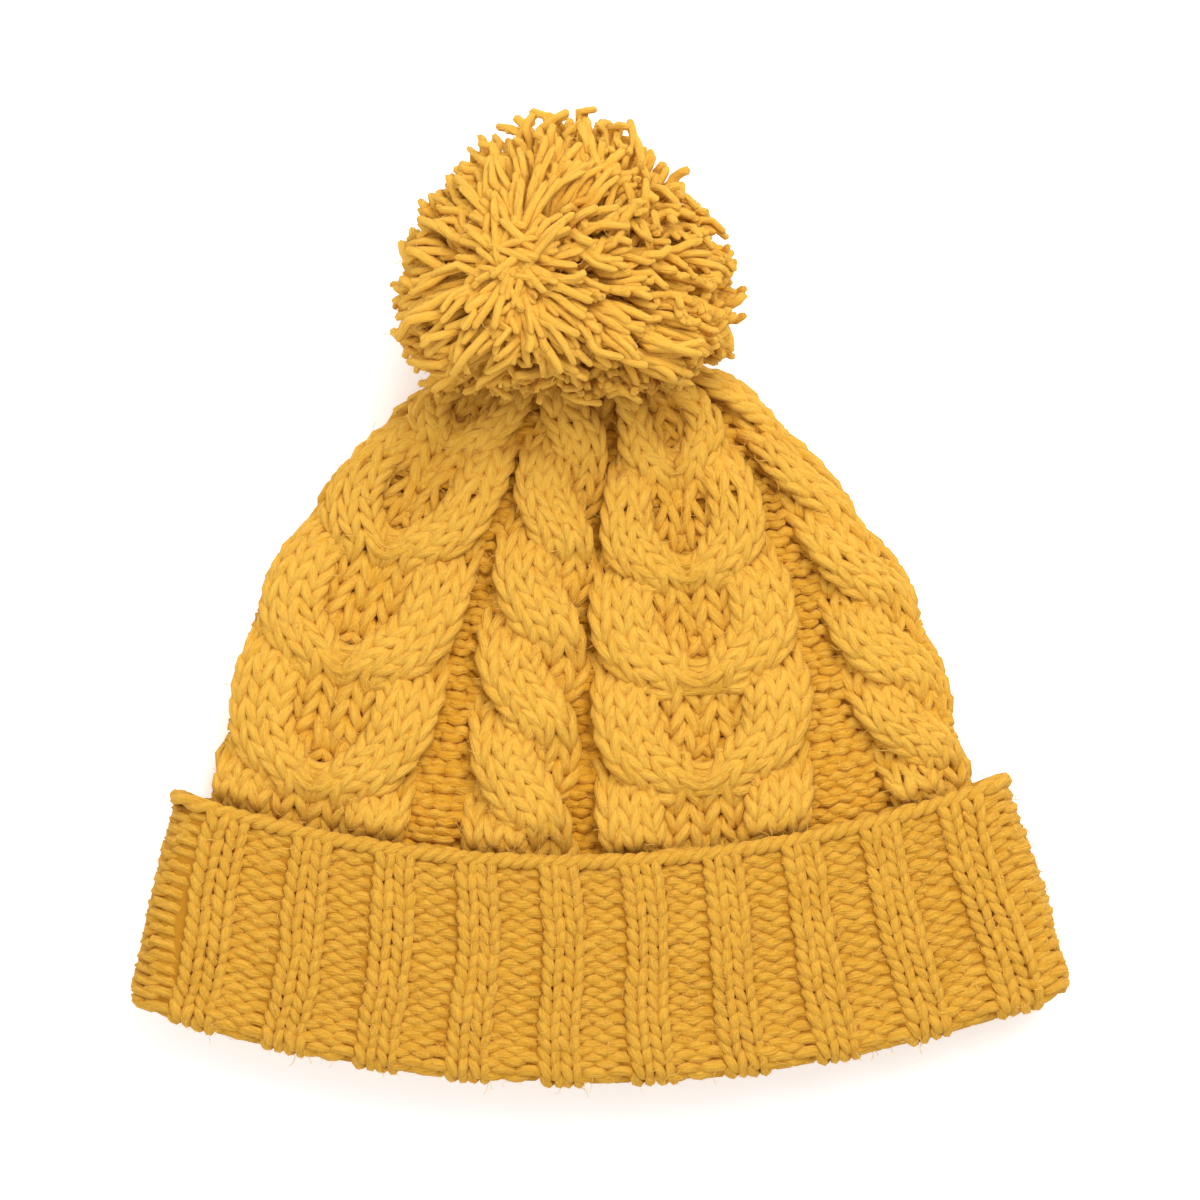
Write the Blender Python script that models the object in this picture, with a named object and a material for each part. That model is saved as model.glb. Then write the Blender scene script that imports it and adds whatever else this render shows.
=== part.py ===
"""A chunky cable-knit bobble hat, lying flat on a table with its ribbed cuff turned up.

The hat lies on its back on the plane z = 0. Its open rim faces -Y and its pompom lies towards +Y.
The knitted body is one flattened tube, from the hem of the cuff (up = 0) to the gathered tip (up = 1).
A place on it is told by `turn`, the share of the way round from the left side fold over the top
(0 to 0.5) and back underneath (0.5 to 1), and by `up`, the share of the way from hem to tip.
"""

import math
import random
from collections import namedtuple

import bmesh
import bpy
import numpy as np
from mathutils import Vector

# Knitted body, in metres
BODY_LENGTH = 0.2185  # hem to tip along the middle
BODY_WIDTH = 0.2605  # between the side folds at the hem, without the turned-up layer
BODY_LOFT = 0.026  # height of the flattened tube where it is fullest
WALL = 0.0042  # thickness of the plain knitted fabric
TOP_FULLNESS = 2.5  # superellipse power of the upper half of a section
UNDER_FULLNESS = 3.4  # the same for the half that lies on the table

# Ribbed cuff
CUFF_DEPTH = 0.0680  # hem to free edge
CUFF_THICKNESS = 0.0048  # turned-up layer between its ribs
CUFF_STAND = 0.0036  # how far the free edge stands off the crown
CUFF_SLOT = 0.0005  # space between the two layers at the hem
RIB_RISE = 0.0014
RIB_COUNT = 22
COLUMNS_PER_RIB = 4  # two knit stitches and two purl stitches
RIB_SKEW = 0.09  # how much wider the ribs lie near the left fold than near the right one

# Cabled crown
JOIN_DEPTH = 0.0135  # how far the crown's lower edge lies below the cuff's free edge
CABLE_RISE = 0.0038  # height of a cable's strand over the purl ground
CABLE_CROSS = 0.0024  # further rise of the strand that crosses in front
STRAND_SPREAD = 0.48  # centre of a strand, as a share of its rope's half width
STRAND_HALF = 0.54  # half width of a strand, as the same share
JOIN_GAP = 0.0003  # between solids that touch

# Pompom
POMPOM_WIDTH = 0.098
POMPOM_ABOVE = 0.0515  # from its widest place to its end
POMPOM_BELOW = 0.029  # from its widest place down over the crown
POMPOM_HEIGHT = 0.076
POMPOM_SIDE = -0.0105  # pompom's middle to the left of the middle of the hat
POMPOM_SEAT = 0.0130  # its widest place beyond the tip
POMPOM_FULLNESS = 3.2  # superellipse power of the side that lies on the crown
LOCK_ROOT = 0.74  # how deep the clefts between the locks go, as a share of the radius
LOCK_TIP = 0.56  # size of a lock's tip against its root
LOCK_REACH = 0.07  # how unevenly the locks stand out, as a share of the radius
LOCK_LEAN = 0.04
SEAT_GAP = 0.0005
SEAT_START = 0.85  # where the hollow for the crown's tip starts, as a share up the body
POMPOM_SEED = 7

COLUMNS = RIB_COUNT * COLUMNS_PER_RIB
CROWN_RINGS = 28
CROWN_TOP = 0.985  # last ring before the closed tip
LINING_RINGS = 5
LINING_TOP = 0.93

MUSTARD = (0.85, 0.43, 0.045, 1.0)
MUSTARD_CUFF = (0.80, 0.38, 0.035, 1.0)
MUSTARD_POMPOM = (0.88, 0.46, 0.05, 1.0)

# Sections of the body. half, bow and shift are shares of BODY_WIDTH / 2, tilt is a slope, and loft
# and lift are shares of BODY_LOFT. A row of stitches hangs lower in the middle by its bow.
Section = namedtuple("Section", "up half bow tilt shift loft lift")
SECTIONS = (
    Section(up=0.000, half=1.000, bow=0.172, tilt=0.014, shift=0.000, loft=0.79, lift=0.22),
    Section(up=0.150, half=0.942, bow=0.150, tilt=0.020, shift=-0.011, loft=0.82, lift=0.26),
    Section(up=0.300, half=0.855, bow=0.138, tilt=0.020, shift=-0.022, loft=0.84, lift=0.30),
    Section(up=0.446, half=0.796, bow=0.120, tilt=0.005, shift=-0.026, loft=0.98, lift=0.20),
    Section(up=0.575, half=0.731, bow=0.115, tilt=-0.012, shift=-0.030, loft=1.02, lift=0.14),
    Section(up=0.695, half=0.614, bow=0.105, tilt=-0.020, shift=-0.030, loft=1.02, lift=0.14),
    Section(up=0.810, half=0.453, bow=0.090, tilt=-0.020, shift=-0.035, loft=0.96, lift=0.15),
    Section(up=0.898, half=0.333, bow=0.045, tilt=0.000, shift=-0.036, loft=0.82, lift=0.26),
    Section(up=0.960, half=0.188, bow=0.018, tilt=0.000, shift=-0.058, loft=0.56, lift=0.58),
    Section(up=1.000, half=0.000, bow=0.000, tilt=0.000, shift=-0.076, loft=0.00, lift=0.98),
)

# Edges of the four cables on the upper side, from -1 at the left fold to 1 at the right fold.
# The underside repeats them, half a turn on.
CableLines = namedtuple("CableLines", "up wide_a narrow_a wide_b narrow_b")
CABLE_LINES = (
    CableLines(0.300, (-0.97, -0.50), (-0.32, -0.07), (0.03, 0.55), (0.79, 0.97)),
    CableLines(0.575, (-0.97, -0.39), (-0.31, -0.02), (0.02, 0.62), (0.71, 0.97)),
    CableLines(0.695, (-0.97, -0.37), (-0.31, 0.01), (0.03, 0.64), (0.74, 0.97)),
    CableLines(0.810, (-0.97, -0.35), (-0.30, 0.07), (0.11, 0.70), (0.77, 0.97)),
    CableLines(0.910, (-0.97, -0.34), (-0.29, 0.17), (0.22, 0.73), (0.78, 0.97)),
)

# How each cable runs: ropes side by side, and the repeat and the start as shares of BODY_LENGTH.
Cable = namedtuple("Cable", "name ropes repeat start")
CABLES = (
    Cable("wide_a", ropes=2, repeat=0.154, start=0.300),
    Cable("narrow_a", ropes=1, repeat=0.122, start=0.328),
    Cable("wide_b", ropes=2, repeat=0.138, start=0.338),
    Cable("narrow_b", ropes=1, repeat=0.116, start=0.343),
)

HAT_LENGTH = BODY_LENGTH + POMPOM_SEAT + POMPOM_ABOVE
HEM_Y = -HAT_LENGTH / 2
CUFF_UP = CUFF_DEPTH / BODY_LENGTH
JOIN_UP = (CUFF_DEPTH - JOIN_DEPTH) / BODY_LENGTH


def clear_scene():
    """Removes whatever the scene starts with."""
    for thing in list(bpy.data.objects):
        bpy.data.objects.remove(thing, do_unlink=True)


def wool(name, colour):
    """A rough, matt wool finish."""
    material = bpy.data.materials.new(name)
    material.use_nodes = True
    shader = material.node_tree.nodes["Principled BSDF"]
    shader.inputs["Base Color"].default_value = colour
    shader.inputs["Roughness"].default_value = 0.92
    shader.inputs["Metallic"].default_value = 0.0
    return material


def curve_through(places, values, at):
    """Smooth curve through (places, values), read at the places `at`."""
    places, values = np.asarray(places, float), np.asarray(values, float)
    slopes = np.gradient(values, places)
    at = np.clip(at, places[0], places[-1])
    span = np.clip(np.searchsorted(places, at, side="right") - 1, 0, len(places) - 2)
    step = places[span + 1] - places[span]
    share = (at - places[span]) / step
    rest = 1 - share
    return (
        values[span] * rest**2 * (1 + 2 * share)
        + values[span + 1] * share**2 * (1 + 2 * rest)
        + (slopes[span] * rest - slopes[span + 1] * share) * share * rest * step
    )


def column(table, name, at):
    """One named column of a table of sections, read at the heights `at`."""
    return curve_through([row.up for row in table], [getattr(row, name) for row in table], at)


def half_loop(half, rise, fullness, shares):
    """(x, z) on a half superellipse from left to right, at shares of its own length."""
    angle = np.linspace(0, math.pi, 241)
    x = -half * np.sign(np.cos(angle)) * np.abs(np.cos(angle)) ** (2 / fullness)
    z = rise * np.abs(np.sin(angle)) ** (2 / fullness)
    run = np.concatenate([[0], np.cumsum(np.hypot(np.diff(x), np.diff(z)))])
    return np.interp(shares * run[-1], run, x), np.interp(shares * run[-1], run, z)


def ring(turns, up):
    """Points of the body's outer face, round one row of stitches."""
    half = max(column(SECTIONS, "half", up), 0) * BODY_WIDTH / 2
    loft = max(column(SECTIONS, "loft", up), 0) * BODY_LOFT
    lift = column(SECTIONS, "lift", up) * BODY_LOFT
    over = turns <= 0.5
    x_over, z_over = half_loop(half, loft / 2, TOP_FULLNESS, np.clip(turns * 2, 0, 1))
    x_under, z_under = half_loop(half, loft / 2, UNDER_FULLNESS, np.clip(2 - turns * 2, 0, 1))
    x = np.where(over, x_over, x_under)
    z = lift + loft / 2 + np.where(over, z_over, -z_under)
    bow = column(SECTIONS, "bow", up) * BODY_WIDTH / 2
    across = x / max(half, 1e-6)
    y = HEM_Y + up * BODY_LENGTH + bow * across**2 + column(SECTIONS, "tilt", up) * x
    x = x + column(SECTIONS, "shift", up) * BODY_WIDTH / 2
    return np.stack([x, y, z], axis=1)


def outward(turns, up):
    """Unit vectors that point out of the body at one row of stitches."""
    step = 0.004
    low, high = max(up - step, 0), min(up + step, 1 - step)
    along = ring(turns, high) - ring(turns, low)
    round_it = ring((turns + step) % 1, up) - ring((turns - step) % 1, up)
    normal = np.cross(round_it, along)
    return normal / np.maximum(np.linalg.norm(normal, axis=1, keepdims=True), 1e-12)


def layer(turns, up, height, floor=0.0):
    """The row pushed out by `height`, and pressed flat where it would sink below `floor`."""
    points = ring(turns, up) + outward(turns, up) * np.reshape(height, (-1, 1))
    points[:, 2] = np.maximum(points[:, 2], floor)
    return points


def ease(value, start, end):
    """0 before start, 1 after end, and smooth between them."""
    share = np.clip((value - start) / (end - start), 0, 1)
    return share * share * (3 - 2 * share)


def rope_height(across, phase):
    """Height over the ground of two strands twisted into a rope, at -1 to 1 across it."""
    height = np.zeros_like(across)
    for side in (1, -1):
        centre = side * STRAND_SPREAD * math.cos(math.pi * phase)
        crown = 1 - ((across - centre) / STRAND_HALF) ** 2
        top = side * CABLE_CROSS * math.sin(math.pi * phase) + CABLE_RISE * np.sqrt(np.maximum(crown, 0))
        height = np.maximum(height, np.where(crown > 0, top, 0))
    return height


def cable_fade(up):
    """How fully the cables stand up: they start under the cuff and end under the pompom."""
    return ease(up, CUFF_UP - 0.010, CUFF_UP + 0.045) * (1 - ease(up, 0.90, 0.965))


def cable_relief(turns, up):
    """Height of the cables over the purl ground, round one row of stitches."""
    height = np.zeros_like(turns)
    front = np.where(turns < 0.5, turns, turns - 0.5) * 4 - 1
    for cable in CABLES:
        edges = [[getattr(row, cable.name)[side] for row in CABLE_LINES] for side in (0, 1)]
        ups = [row.up for row in CABLE_LINES]
        left, right = (float(curve_through(ups, edge, up)) for edge in edges)
        phase = (up - cable.start) / cable.repeat
        place = (front - (left + right) / 2) / ((right - left) / 2)
        if cable.ropes == 2:
            place = 1 - 2 * np.abs(place)
        height = np.maximum(height, np.where(np.abs(place) < 1, rope_height(place, phase), 0))
    return height * cable_fade(up)


def rib_relief(columns):
    """Height of the knit ribs over the purl columns between them."""
    return np.where(columns % COLUMNS_PER_RIB >= COLUMNS_PER_RIB // 2, RIB_RISE, 0.0)


def skewed(turns):
    """Even turns moved to where the ribs lie, wider apart towards the left fold."""
    over = turns < 0.5
    front = np.where(over, turns, turns - 0.5) * 4 - 1
    return turns + np.where(over, RIB_SKEW, -RIB_SKEW) * (1 - front**2) / 4


def skin(name, rings, material, first_tip=None, last_tip=None):
    """A closed solid through the rings in turn, ending in tips, or joined end to end without them."""
    shape = bmesh.new()
    rows = [[shape.verts.new(point) for point in points] for points in rings]
    count = len(rows[0])
    follow = list(zip(rows, rows[1:]))
    if first_tip is None:
        follow.append((rows[-1], rows[0]))
    for row, above in follow:
        for i in range(count):
            nxt = (i + 1) % count
            shape.faces.new((row[i], row[nxt], above[nxt], above[i]))
    for tip, row in ((first_tip, rows[0]), (last_tip, rows[-1])):
        if tip is not None:
            point = shape.verts.new(tip)
            for i in range(count):
                shape.faces.new((row[i], row[(i + 1) % count], point))
    bmesh.ops.recalc_face_normals(shape, faces=shape.faces)
    mesh = bpy.data.meshes.new(name)
    shape.to_mesh(mesh)
    shape.free()
    return place_mesh(name, mesh, material)


def place_mesh(name, mesh, material):
    """Puts a finished mesh in the scene, shaded smooth."""
    mesh.materials.append(material)
    mesh.shade_smooth()
    mesh.set_sharp_from_angle(angle=math.radians(40))
    thing = bpy.data.objects.new(name, mesh)
    bpy.context.scene.collection.objects.link(thing)
    return thing


def build_cuff():
    """The ribbed band: an inner layer, folded at the hem, and the layer turned up outside it."""
    columns = np.arange(COLUMNS)
    turns = skewed(columns / COLUMNS)
    rib = rib_relief(columns)
    round_off = 0.35 * CUFF_THICKNESS / BODY_LENGTH
    hem = 2 * round_off
    edge = CUFF_UP - round_off
    slot_end = 2 * hem
    table_layer = CUFF_THICKNESS + CUFF_SLOT / 2

    def stand(up):
        return CUFF_SLOT + (CUFF_STAND - CUFF_SLOT) * up / CUFF_UP

    rings = [layer(turns, up, -WALL) for up in (JOIN_UP, 0.6 * JOIN_UP, hem)]
    rings.append(layer(turns, round_off / 2, -0.35 * WALL))
    rings.append(layer(turns, 0.0, CUFF_SLOT))
    rings.append(layer(turns, round_off / 2, stand(0) + 0.7 * CUFF_THICKNESS + rib))
    for up in (hem, 0.25 * CUFF_UP, 0.5 * CUFF_UP, 0.75 * CUFF_UP, edge):
        rings.append(layer(turns, up, stand(up) + CUFF_THICKNESS + rib))
    rings.append(layer(turns, CUFF_UP, stand(CUFF_UP) + 0.5 * CUFF_THICKNESS, 0.5 * table_layer))
    for up in (edge, 0.6 * CUFF_UP, slot_end):
        rings.append(layer(turns, up, stand(up), table_layer))
    for up in (slot_end, JOIN_UP):
        rings.append(layer(turns, up, 0.0, table_layer + CUFF_SLOT))
    return skin("cuff", rings, wool("mustard_rib", MUSTARD_CUFF))


def crown_ups():
    """Where the crown's outer rings lie, as shares up the body."""
    return np.linspace(JOIN_UP + JOIN_GAP / BODY_LENGTH, CROWN_TOP, CROWN_RINGS)


def build_crown():
    """The cabled crown: relief outside, plain inside, open below and gathered to a closed tip."""
    turns = np.arange(COLUMNS) / COLUMNS
    ups = crown_ups()
    lining = [layer(turns, up, -WALL) for up in np.linspace(LINING_TOP, ups[0], LINING_RINGS)]
    inner_tip = lining[0].mean(axis=0) + (0, WALL, 0)
    cuff_floor = CUFF_THICKNESS + 2 * CUFF_SLOT
    outside = []
    for up in ups:
        floor = cuff_floor * (1 - ease(up, CUFF_UP + 0.02, CUFF_UP + 0.10))
        outside.append(layer(turns, up, cable_relief(turns, up), floor))
    tip = ring(np.zeros(1), 1.0)[0]
    material = wool("mustard_cable", MUSTARD)
    return skin("crown", lining + outside, material, first_tip=inner_tip, last_tip=tip)


def honeycomb():
    """Corners of a ball's six- and five-sided cells, and the ring of corners round each cell."""
    ball = bmesh.new()
    bmesh.ops.create_icosphere(ball, subdivisions=3, radius=1.0)
    ball.faces.index_update()
    corners = [face.calc_center_median().normalized() for face in ball.faces]
    cells = []
    for vertex in ball.verts:
        right = vertex.co.orthogonal()
        ahead = vertex.co.cross(right)
        ends = [face.index for face in vertex.link_faces]
        ends.sort(key=lambda i: math.atan2(corners[i].dot(ahead), corners[i].dot(right)))
        cells.append(ends)
    ball.free()
    return corners, cells


def rounded(direction):
    """A point of the pompom's rounded outline: a ball that is fuller on its lower side."""
    power = 2 + (POMPOM_FULLNESS - 2) * min(max(-direction.y * 2, 0), 1)
    return direction / sum(abs(c) ** power for c in direction) ** (1 / power)


def fit_to_size(vertices, tips, middle):
    """Scales the vertices so that the tips just reach the pompom's named sizes."""
    half = (POMPOM_WIDTH / 2, 0, POMPOM_HEIGHT / 2)
    ends = [(min(tip.co[axis] for tip in tips), max(tip.co[axis] for tip in tips)) for axis in range(3)]
    for vertex in vertices:
        place = list(vertex.co)
        for axis in (0, 2):
            low, high = ends[axis]
            place[axis] = half[axis] * (2 * (place[axis] - low) / (high - low) - 1)
        place[1] *= POMPOM_ABOVE / ends[1][1] if place[1] > 0 else POMPOM_BELOW / -ends[1][0]
        vertex.co = Vector(place) + middle


def build_pompom():
    """A ball of yarn locks fused to one core, with a hollow where the crown's tip sits in it."""
    picks = random.Random(POMPOM_SEED)
    corners, cells = honeycomb()
    shape = bmesh.new()
    roots = [shape.verts.new(rounded(corner) * LOCK_ROOT) for corner in corners]
    tips = []
    for cell in cells:
        middle = sum((corners[i] for i in cell), Vector()).normalized()
        reach = 1 + picks.uniform(-LOCK_REACH, LOCK_REACH)
        lean = Vector(picks.uniform(-LOCK_LEAN, LOCK_LEAN) for _ in range(3))
        centre = rounded(middle) * reach + lean
        end = [shape.verts.new(centre + (corners[i] - middle) * LOCK_TIP) for i in cell]
        tips.extend(end)
        shape.faces.new(end)
        for side, i in enumerate(cell):
            nxt = (side + 1) % len(cell)
            shape.faces.new((roots[i], roots[cell[nxt]], end[nxt], end[side]))
    tip_y = ring(np.zeros(1), 1.0)[0][1]
    fit_to_size(shape.verts, tips, Vector((POMPOM_SIDE, tip_y + POMPOM_SEAT, POMPOM_HEIGHT / 2)))
    bmesh.ops.recalc_face_normals(shape, faces=shape.faces)
    mesh = bpy.data.meshes.new("pompom")
    shape.to_mesh(mesh)
    shape.free()
    pompom = place_mesh("pompom", mesh, wool("mustard_yarn", MUSTARD_POMPOM))
    seat = pompom.modifiers.new("seat", "BOOLEAN")
    seat.operation = "DIFFERENCE"
    seat.solver = "EXACT"
    seat.object = build_seat()
    return pompom


def build_seat():
    """The hollow that the pompom keeps free for the crown's tip: a helper, not a part."""
    turns = np.arange(COLUMNS) / COLUMNS
    rings = []
    for up in crown_ups():
        if up >= SEAT_START:
            rise = (CABLE_RISE + CABLE_CROSS) * cable_fade(up)
            rings.append(layer(turns, up, rise + SEAT_GAP, -SEAT_GAP))
    base = rings[0].mean(axis=0)
    tip = ring(np.zeros(1), 1.0)[0] + (0, SEAT_GAP, 0)
    seat = skin("pompom_seat", rings, wool("helper", MUSTARD), first_tip=base, last_tip=tip)
    seat.hide_render = True
    seat.display_type = "WIRE"
    return seat


def main():
    clear_scene()
    build_cuff()
    build_crown()
    build_pompom()


main()
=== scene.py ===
"""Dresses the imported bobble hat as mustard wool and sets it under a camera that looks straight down.

The hat lies on its back on the floor, rim towards -Y and pompom towards +Y. Its knit is made of yarn:
each row of stitches is one path that loops over the body's surface, and Geometry Nodes sweep the yarn
along it. A place on the body is told by `turn`, the share of the way round from the left side fold
over the top (0 to 0.5) and back underneath (0.5 to 1), and by `up`, the share of the way from hem to
tip. A place across one half of the body is told by `front`, from -1 at its first fold to 1 at the next.
"""

from __future__ import annotations

import logging
import math
from dataclasses import dataclass, field, replace
from enum import Enum

import bpy
import numpy as np
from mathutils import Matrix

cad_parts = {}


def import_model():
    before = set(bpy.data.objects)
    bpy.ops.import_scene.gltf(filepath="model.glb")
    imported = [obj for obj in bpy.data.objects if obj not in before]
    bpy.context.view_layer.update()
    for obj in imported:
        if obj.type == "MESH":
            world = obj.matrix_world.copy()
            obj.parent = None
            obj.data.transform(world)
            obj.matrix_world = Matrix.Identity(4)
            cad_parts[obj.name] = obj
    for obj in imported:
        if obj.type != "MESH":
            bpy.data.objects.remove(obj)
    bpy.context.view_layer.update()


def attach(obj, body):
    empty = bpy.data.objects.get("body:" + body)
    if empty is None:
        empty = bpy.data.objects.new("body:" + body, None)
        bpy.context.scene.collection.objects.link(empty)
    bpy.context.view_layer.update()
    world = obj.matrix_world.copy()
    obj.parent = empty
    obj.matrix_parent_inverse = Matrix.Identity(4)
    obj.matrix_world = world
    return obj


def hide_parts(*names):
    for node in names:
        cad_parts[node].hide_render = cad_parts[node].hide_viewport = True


LOG = logging.getLogger("bobble_hat")
Array = np.ndarray
TABLE_TOP = 0.0
SEED = 11
FIBRE_LENGTH = 0.0028


class Knit(Enum):
    """Which side of a stitch faces outwards."""

    LEGS = 1.0
    BUMPS = -1.0


@dataclass(frozen=True)
class Section:
    """One section of the body: lengths are shares of the body's half width or loft, tilt is a slope."""

    up: float
    half: float
    bow: float
    tilt: float
    shift: float
    loft: float
    lift: float


@dataclass(frozen=True)
class CableLines:
    """Edges of the four cables on the upper side at one height, as `front` places."""

    up: float
    wide_a: tuple[float, float]
    narrow_a: tuple[float, float]
    wide_b: tuple[float, float]
    narrow_b: tuple[float, float]


SECTIONS = (
    Section(up=0.000, half=1.000, bow=0.172, tilt=0.014, shift=0.000, loft=0.79, lift=0.22),
    Section(up=0.150, half=0.942, bow=0.150, tilt=0.020, shift=-0.011, loft=0.82, lift=0.26),
    Section(up=0.300, half=0.855, bow=0.138, tilt=0.020, shift=-0.022, loft=0.84, lift=0.30),
    Section(up=0.446, half=0.796, bow=0.120, tilt=0.005, shift=-0.026, loft=0.98, lift=0.20),
    Section(up=0.575, half=0.731, bow=0.115, tilt=-0.012, shift=-0.030, loft=1.02, lift=0.14),
    Section(up=0.695, half=0.614, bow=0.105, tilt=-0.020, shift=-0.030, loft=1.02, lift=0.14),
    Section(up=0.810, half=0.453, bow=0.090, tilt=-0.020, shift=-0.035, loft=0.96, lift=0.15),
    Section(up=0.898, half=0.333, bow=0.045, tilt=0.000, shift=-0.036, loft=0.82, lift=0.26),
    Section(up=0.960, half=0.188, bow=0.018, tilt=0.000, shift=-0.058, loft=0.56, lift=0.58),
    Section(up=1.000, half=0.000, bow=0.000, tilt=0.000, shift=-0.076, loft=0.00, lift=0.98),
)

CABLE_LINES = (
    CableLines(0.300, (-0.97, -0.50), (-0.32, -0.07), (0.03, 0.55), (0.79, 0.97)),
    CableLines(0.575, (-0.97, -0.39), (-0.31, -0.02), (0.02, 0.62), (0.71, 0.97)),
    CableLines(0.695, (-0.97, -0.37), (-0.31, 0.01), (0.03, 0.64), (0.74, 0.97)),
    CableLines(0.810, (-0.97, -0.35), (-0.30, 0.07), (0.11, 0.70), (0.77, 0.97)),
    CableLines(0.910, (-0.97, -0.34), (-0.29, 0.17), (0.22, 0.73), (0.78, 0.97)),
)


@dataclass(frozen=True)
class Stride:
    """Where a strand lies across its rope, from 1 to -1, at one share of the way to the next crossing."""

    share: float
    twist: float
    split: float


STRIDES = (
    Stride(share=0.00, twist=1.00, split=1.00),
    Stride(share=0.05, twist=0.97, split=0.86),
    Stride(share=0.12, twist=0.88, split=0.44),
    Stride(share=0.25, twist=0.52, split=-0.24),
    Stride(share=0.42, twist=-0.10, split=-0.74),
    Stride(share=0.62, twist=-0.72, split=-0.96),
    Stride(share=0.80, twist=-0.96, split=-1.00),
    Stride(share=1.00, twist=-1.00, split=-1.00),
)


def curve_through(places: Array, values: Array, at: Array) -> Array:
    """Reads a smooth curve through points.

    Args:
        places: where the points lie, rising.
        values: the curve's value at each of them.
        at: where to read it.

    Returns:
        The curve's values at those places.
    """
    places = np.asarray(places, float)
    values = np.asarray(values, float)
    slopes = np.gradient(values, places)
    at = np.clip(at, places[0], places[-1])
    span = np.clip(np.searchsorted(places, at, side="right") - 1, 0, len(places) - 2)
    step = places[span + 1] - places[span]
    share = (at - places[span]) / step
    rest = 1 - share
    return (
        values[span] * rest**2 * (1 + 2 * share)
        + values[span + 1] * share**2 * (1 + 2 * rest)
        + (slopes[span] * rest - slopes[span + 1] * share) * share * rest * step
    )


def ease(value: Array, start: float, end: float) -> Array:
    """Rises smoothly from 0 at `start` to 1 at `end`."""
    share = np.clip((value - start) / (end - start), 0, 1)
    return share * share * (3 - 2 * share)


@dataclass(frozen=True)
class Body:
    """The flattened tube that the knitting follows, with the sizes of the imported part."""

    length: float = 0.2185
    width: float = 0.2605
    loft: float = 0.026
    wall: float = 0.0042
    hem_y: float = -0.1415
    top_fullness: float = 2.5
    under_fullness: float = 3.4

    def column(self, name: str, at: Array) -> Array:
        """Reads one column of the sections at the heights `at`."""
        return curve_through([row.up for row in SECTIONS], [getattr(row, name) for row in SECTIONS], at)

    def half_loop(self, half: float, rise: float, fullness: float, shares: Array) -> tuple[Array, Array]:
        """Walks along half a superellipse.

        Args:
            half: its half width.
            rise: its height.
            fullness: its power.
            shares: where to read it, as shares of its own length from left to right.

        Returns:
            x and z of those places.
        """
        angle = np.linspace(0, math.pi, 241)
        x = -half * np.sign(np.cos(angle)) * np.abs(np.cos(angle)) ** (2 / fullness)
        z = rise * np.abs(np.sin(angle)) ** (2 / fullness)
        run = np.concatenate([[0], np.cumsum(np.hypot(np.diff(x), np.diff(z)))])
        return np.interp(shares * run[-1], run, x), np.interp(shares * run[-1], run, z)

    def ring(self, turns: Array, up: float) -> Array:
        """Gives the points of the body's outer face round one row of stitches.

        Args:
            turns: places round the body.
            up: how far up the row lies.

        Returns:
            The points.
        """
        half = max(float(self.column("half", up)), 1e-5) * self.width / 2
        loft = max(float(self.column("loft", up)), 1e-5) * self.loft
        lift = self.column("lift", up) * self.loft
        x_over, z_over = self.half_loop(half, loft / 2, self.top_fullness, np.clip(turns * 2, 0, 1))
        x_under, z_under = self.half_loop(half, loft / 2, self.under_fullness, np.clip(2 - turns * 2, 0, 1))
        over = turns <= 0.5
        x = np.where(over, x_over, x_under)
        z = lift + loft / 2 + np.where(over, z_over, -z_under)
        bow = self.column("bow", up) * self.width / 2
        y = self.hem_y + up * self.length + bow * (x / half) ** 2 + self.column("tilt", up) * x
        return np.stack([x + self.column("shift", up) * self.width / 2, y, z], axis=1)


class Surface:
    """The body's outer face as a fine grid that can be read anywhere, with its directions."""

    ups = 221
    turns = 440
    last_up = 0.985

    def __init__(self, body: Body) -> None:
        """Measures the grid from the body.

        Args:
            body: the body.
        """
        self.body = body
        ups = np.linspace(0, self.last_up, self.ups)
        turns = np.linspace(0, 1, self.turns + 1)
        points = np.stack([body.ring(turns, up) for up in ups])
        along = np.gradient(points, axis=0)
        wrapped = np.concatenate([points[:, -2:-1], points, points[:, 1:2]], axis=1)
        around = wrapped[:, 2:] - wrapped[:, :-2]
        normal = np.cross(around, along)
        self.points = points
        self.along = along / np.linalg.norm(along, axis=2, keepdims=True)
        self.normal = normal / np.maximum(np.linalg.norm(normal, axis=2, keepdims=True), 1e-12)
        self.round_length = np.linalg.norm(np.diff(points, axis=1), axis=2).sum(axis=1)

    def read(self, grid: Array, turn: Array, up: Array) -> Array:
        """Reads one of the grids between its points.

        Args:
            grid: the grid.
            turn: how far round each place lies.
            up: how far up.

        Returns:
            The grid's values there.
        """
        row = np.clip(up / self.last_up, 0, 1) * (self.ups - 1)
        col = np.mod(turn, 1) * self.turns
        i = np.clip(row.astype(int), 0, self.ups - 2)
        j = np.clip(col.astype(int), 0, self.turns - 1)
        s = (row - i)[:, None]
        t = (col - j)[:, None]
        low = grid[i, j] * (1 - t) + grid[i, j + 1] * t
        high = grid[i + 1, j] * (1 - t) + grid[i + 1, j + 1] * t
        return low * (1 - s) + high * s

    def place(self, turn: Array, up: Array, height: Array, floor: Array | float = TABLE_TOP) -> Array:
        """Gives points over the surface.

        Args:
            turn: how far round each point lies.
            up: how far up; below 0 the surface goes on straight past the hem.
            height: how far outside the surface.
            floor: what nothing sinks below.

        Returns:
            The points.
        """
        points = self.read(self.points, turn, up)
        points = points + self.read(self.along, turn, up) * (np.minimum(up, 0) * self.body.length)[:, None]
        points = points + self.read(self.normal, turn, up) * np.reshape(height, (-1, 1))
        points[:, 2] = np.maximum(points[:, 2], floor)
        return points

    def front_unit(self, up: Array) -> Array:
        """Gives the length of one unit of `front` at a height."""
        return np.interp(up, np.linspace(0, self.last_up, self.ups), self.round_length) / 4


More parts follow.
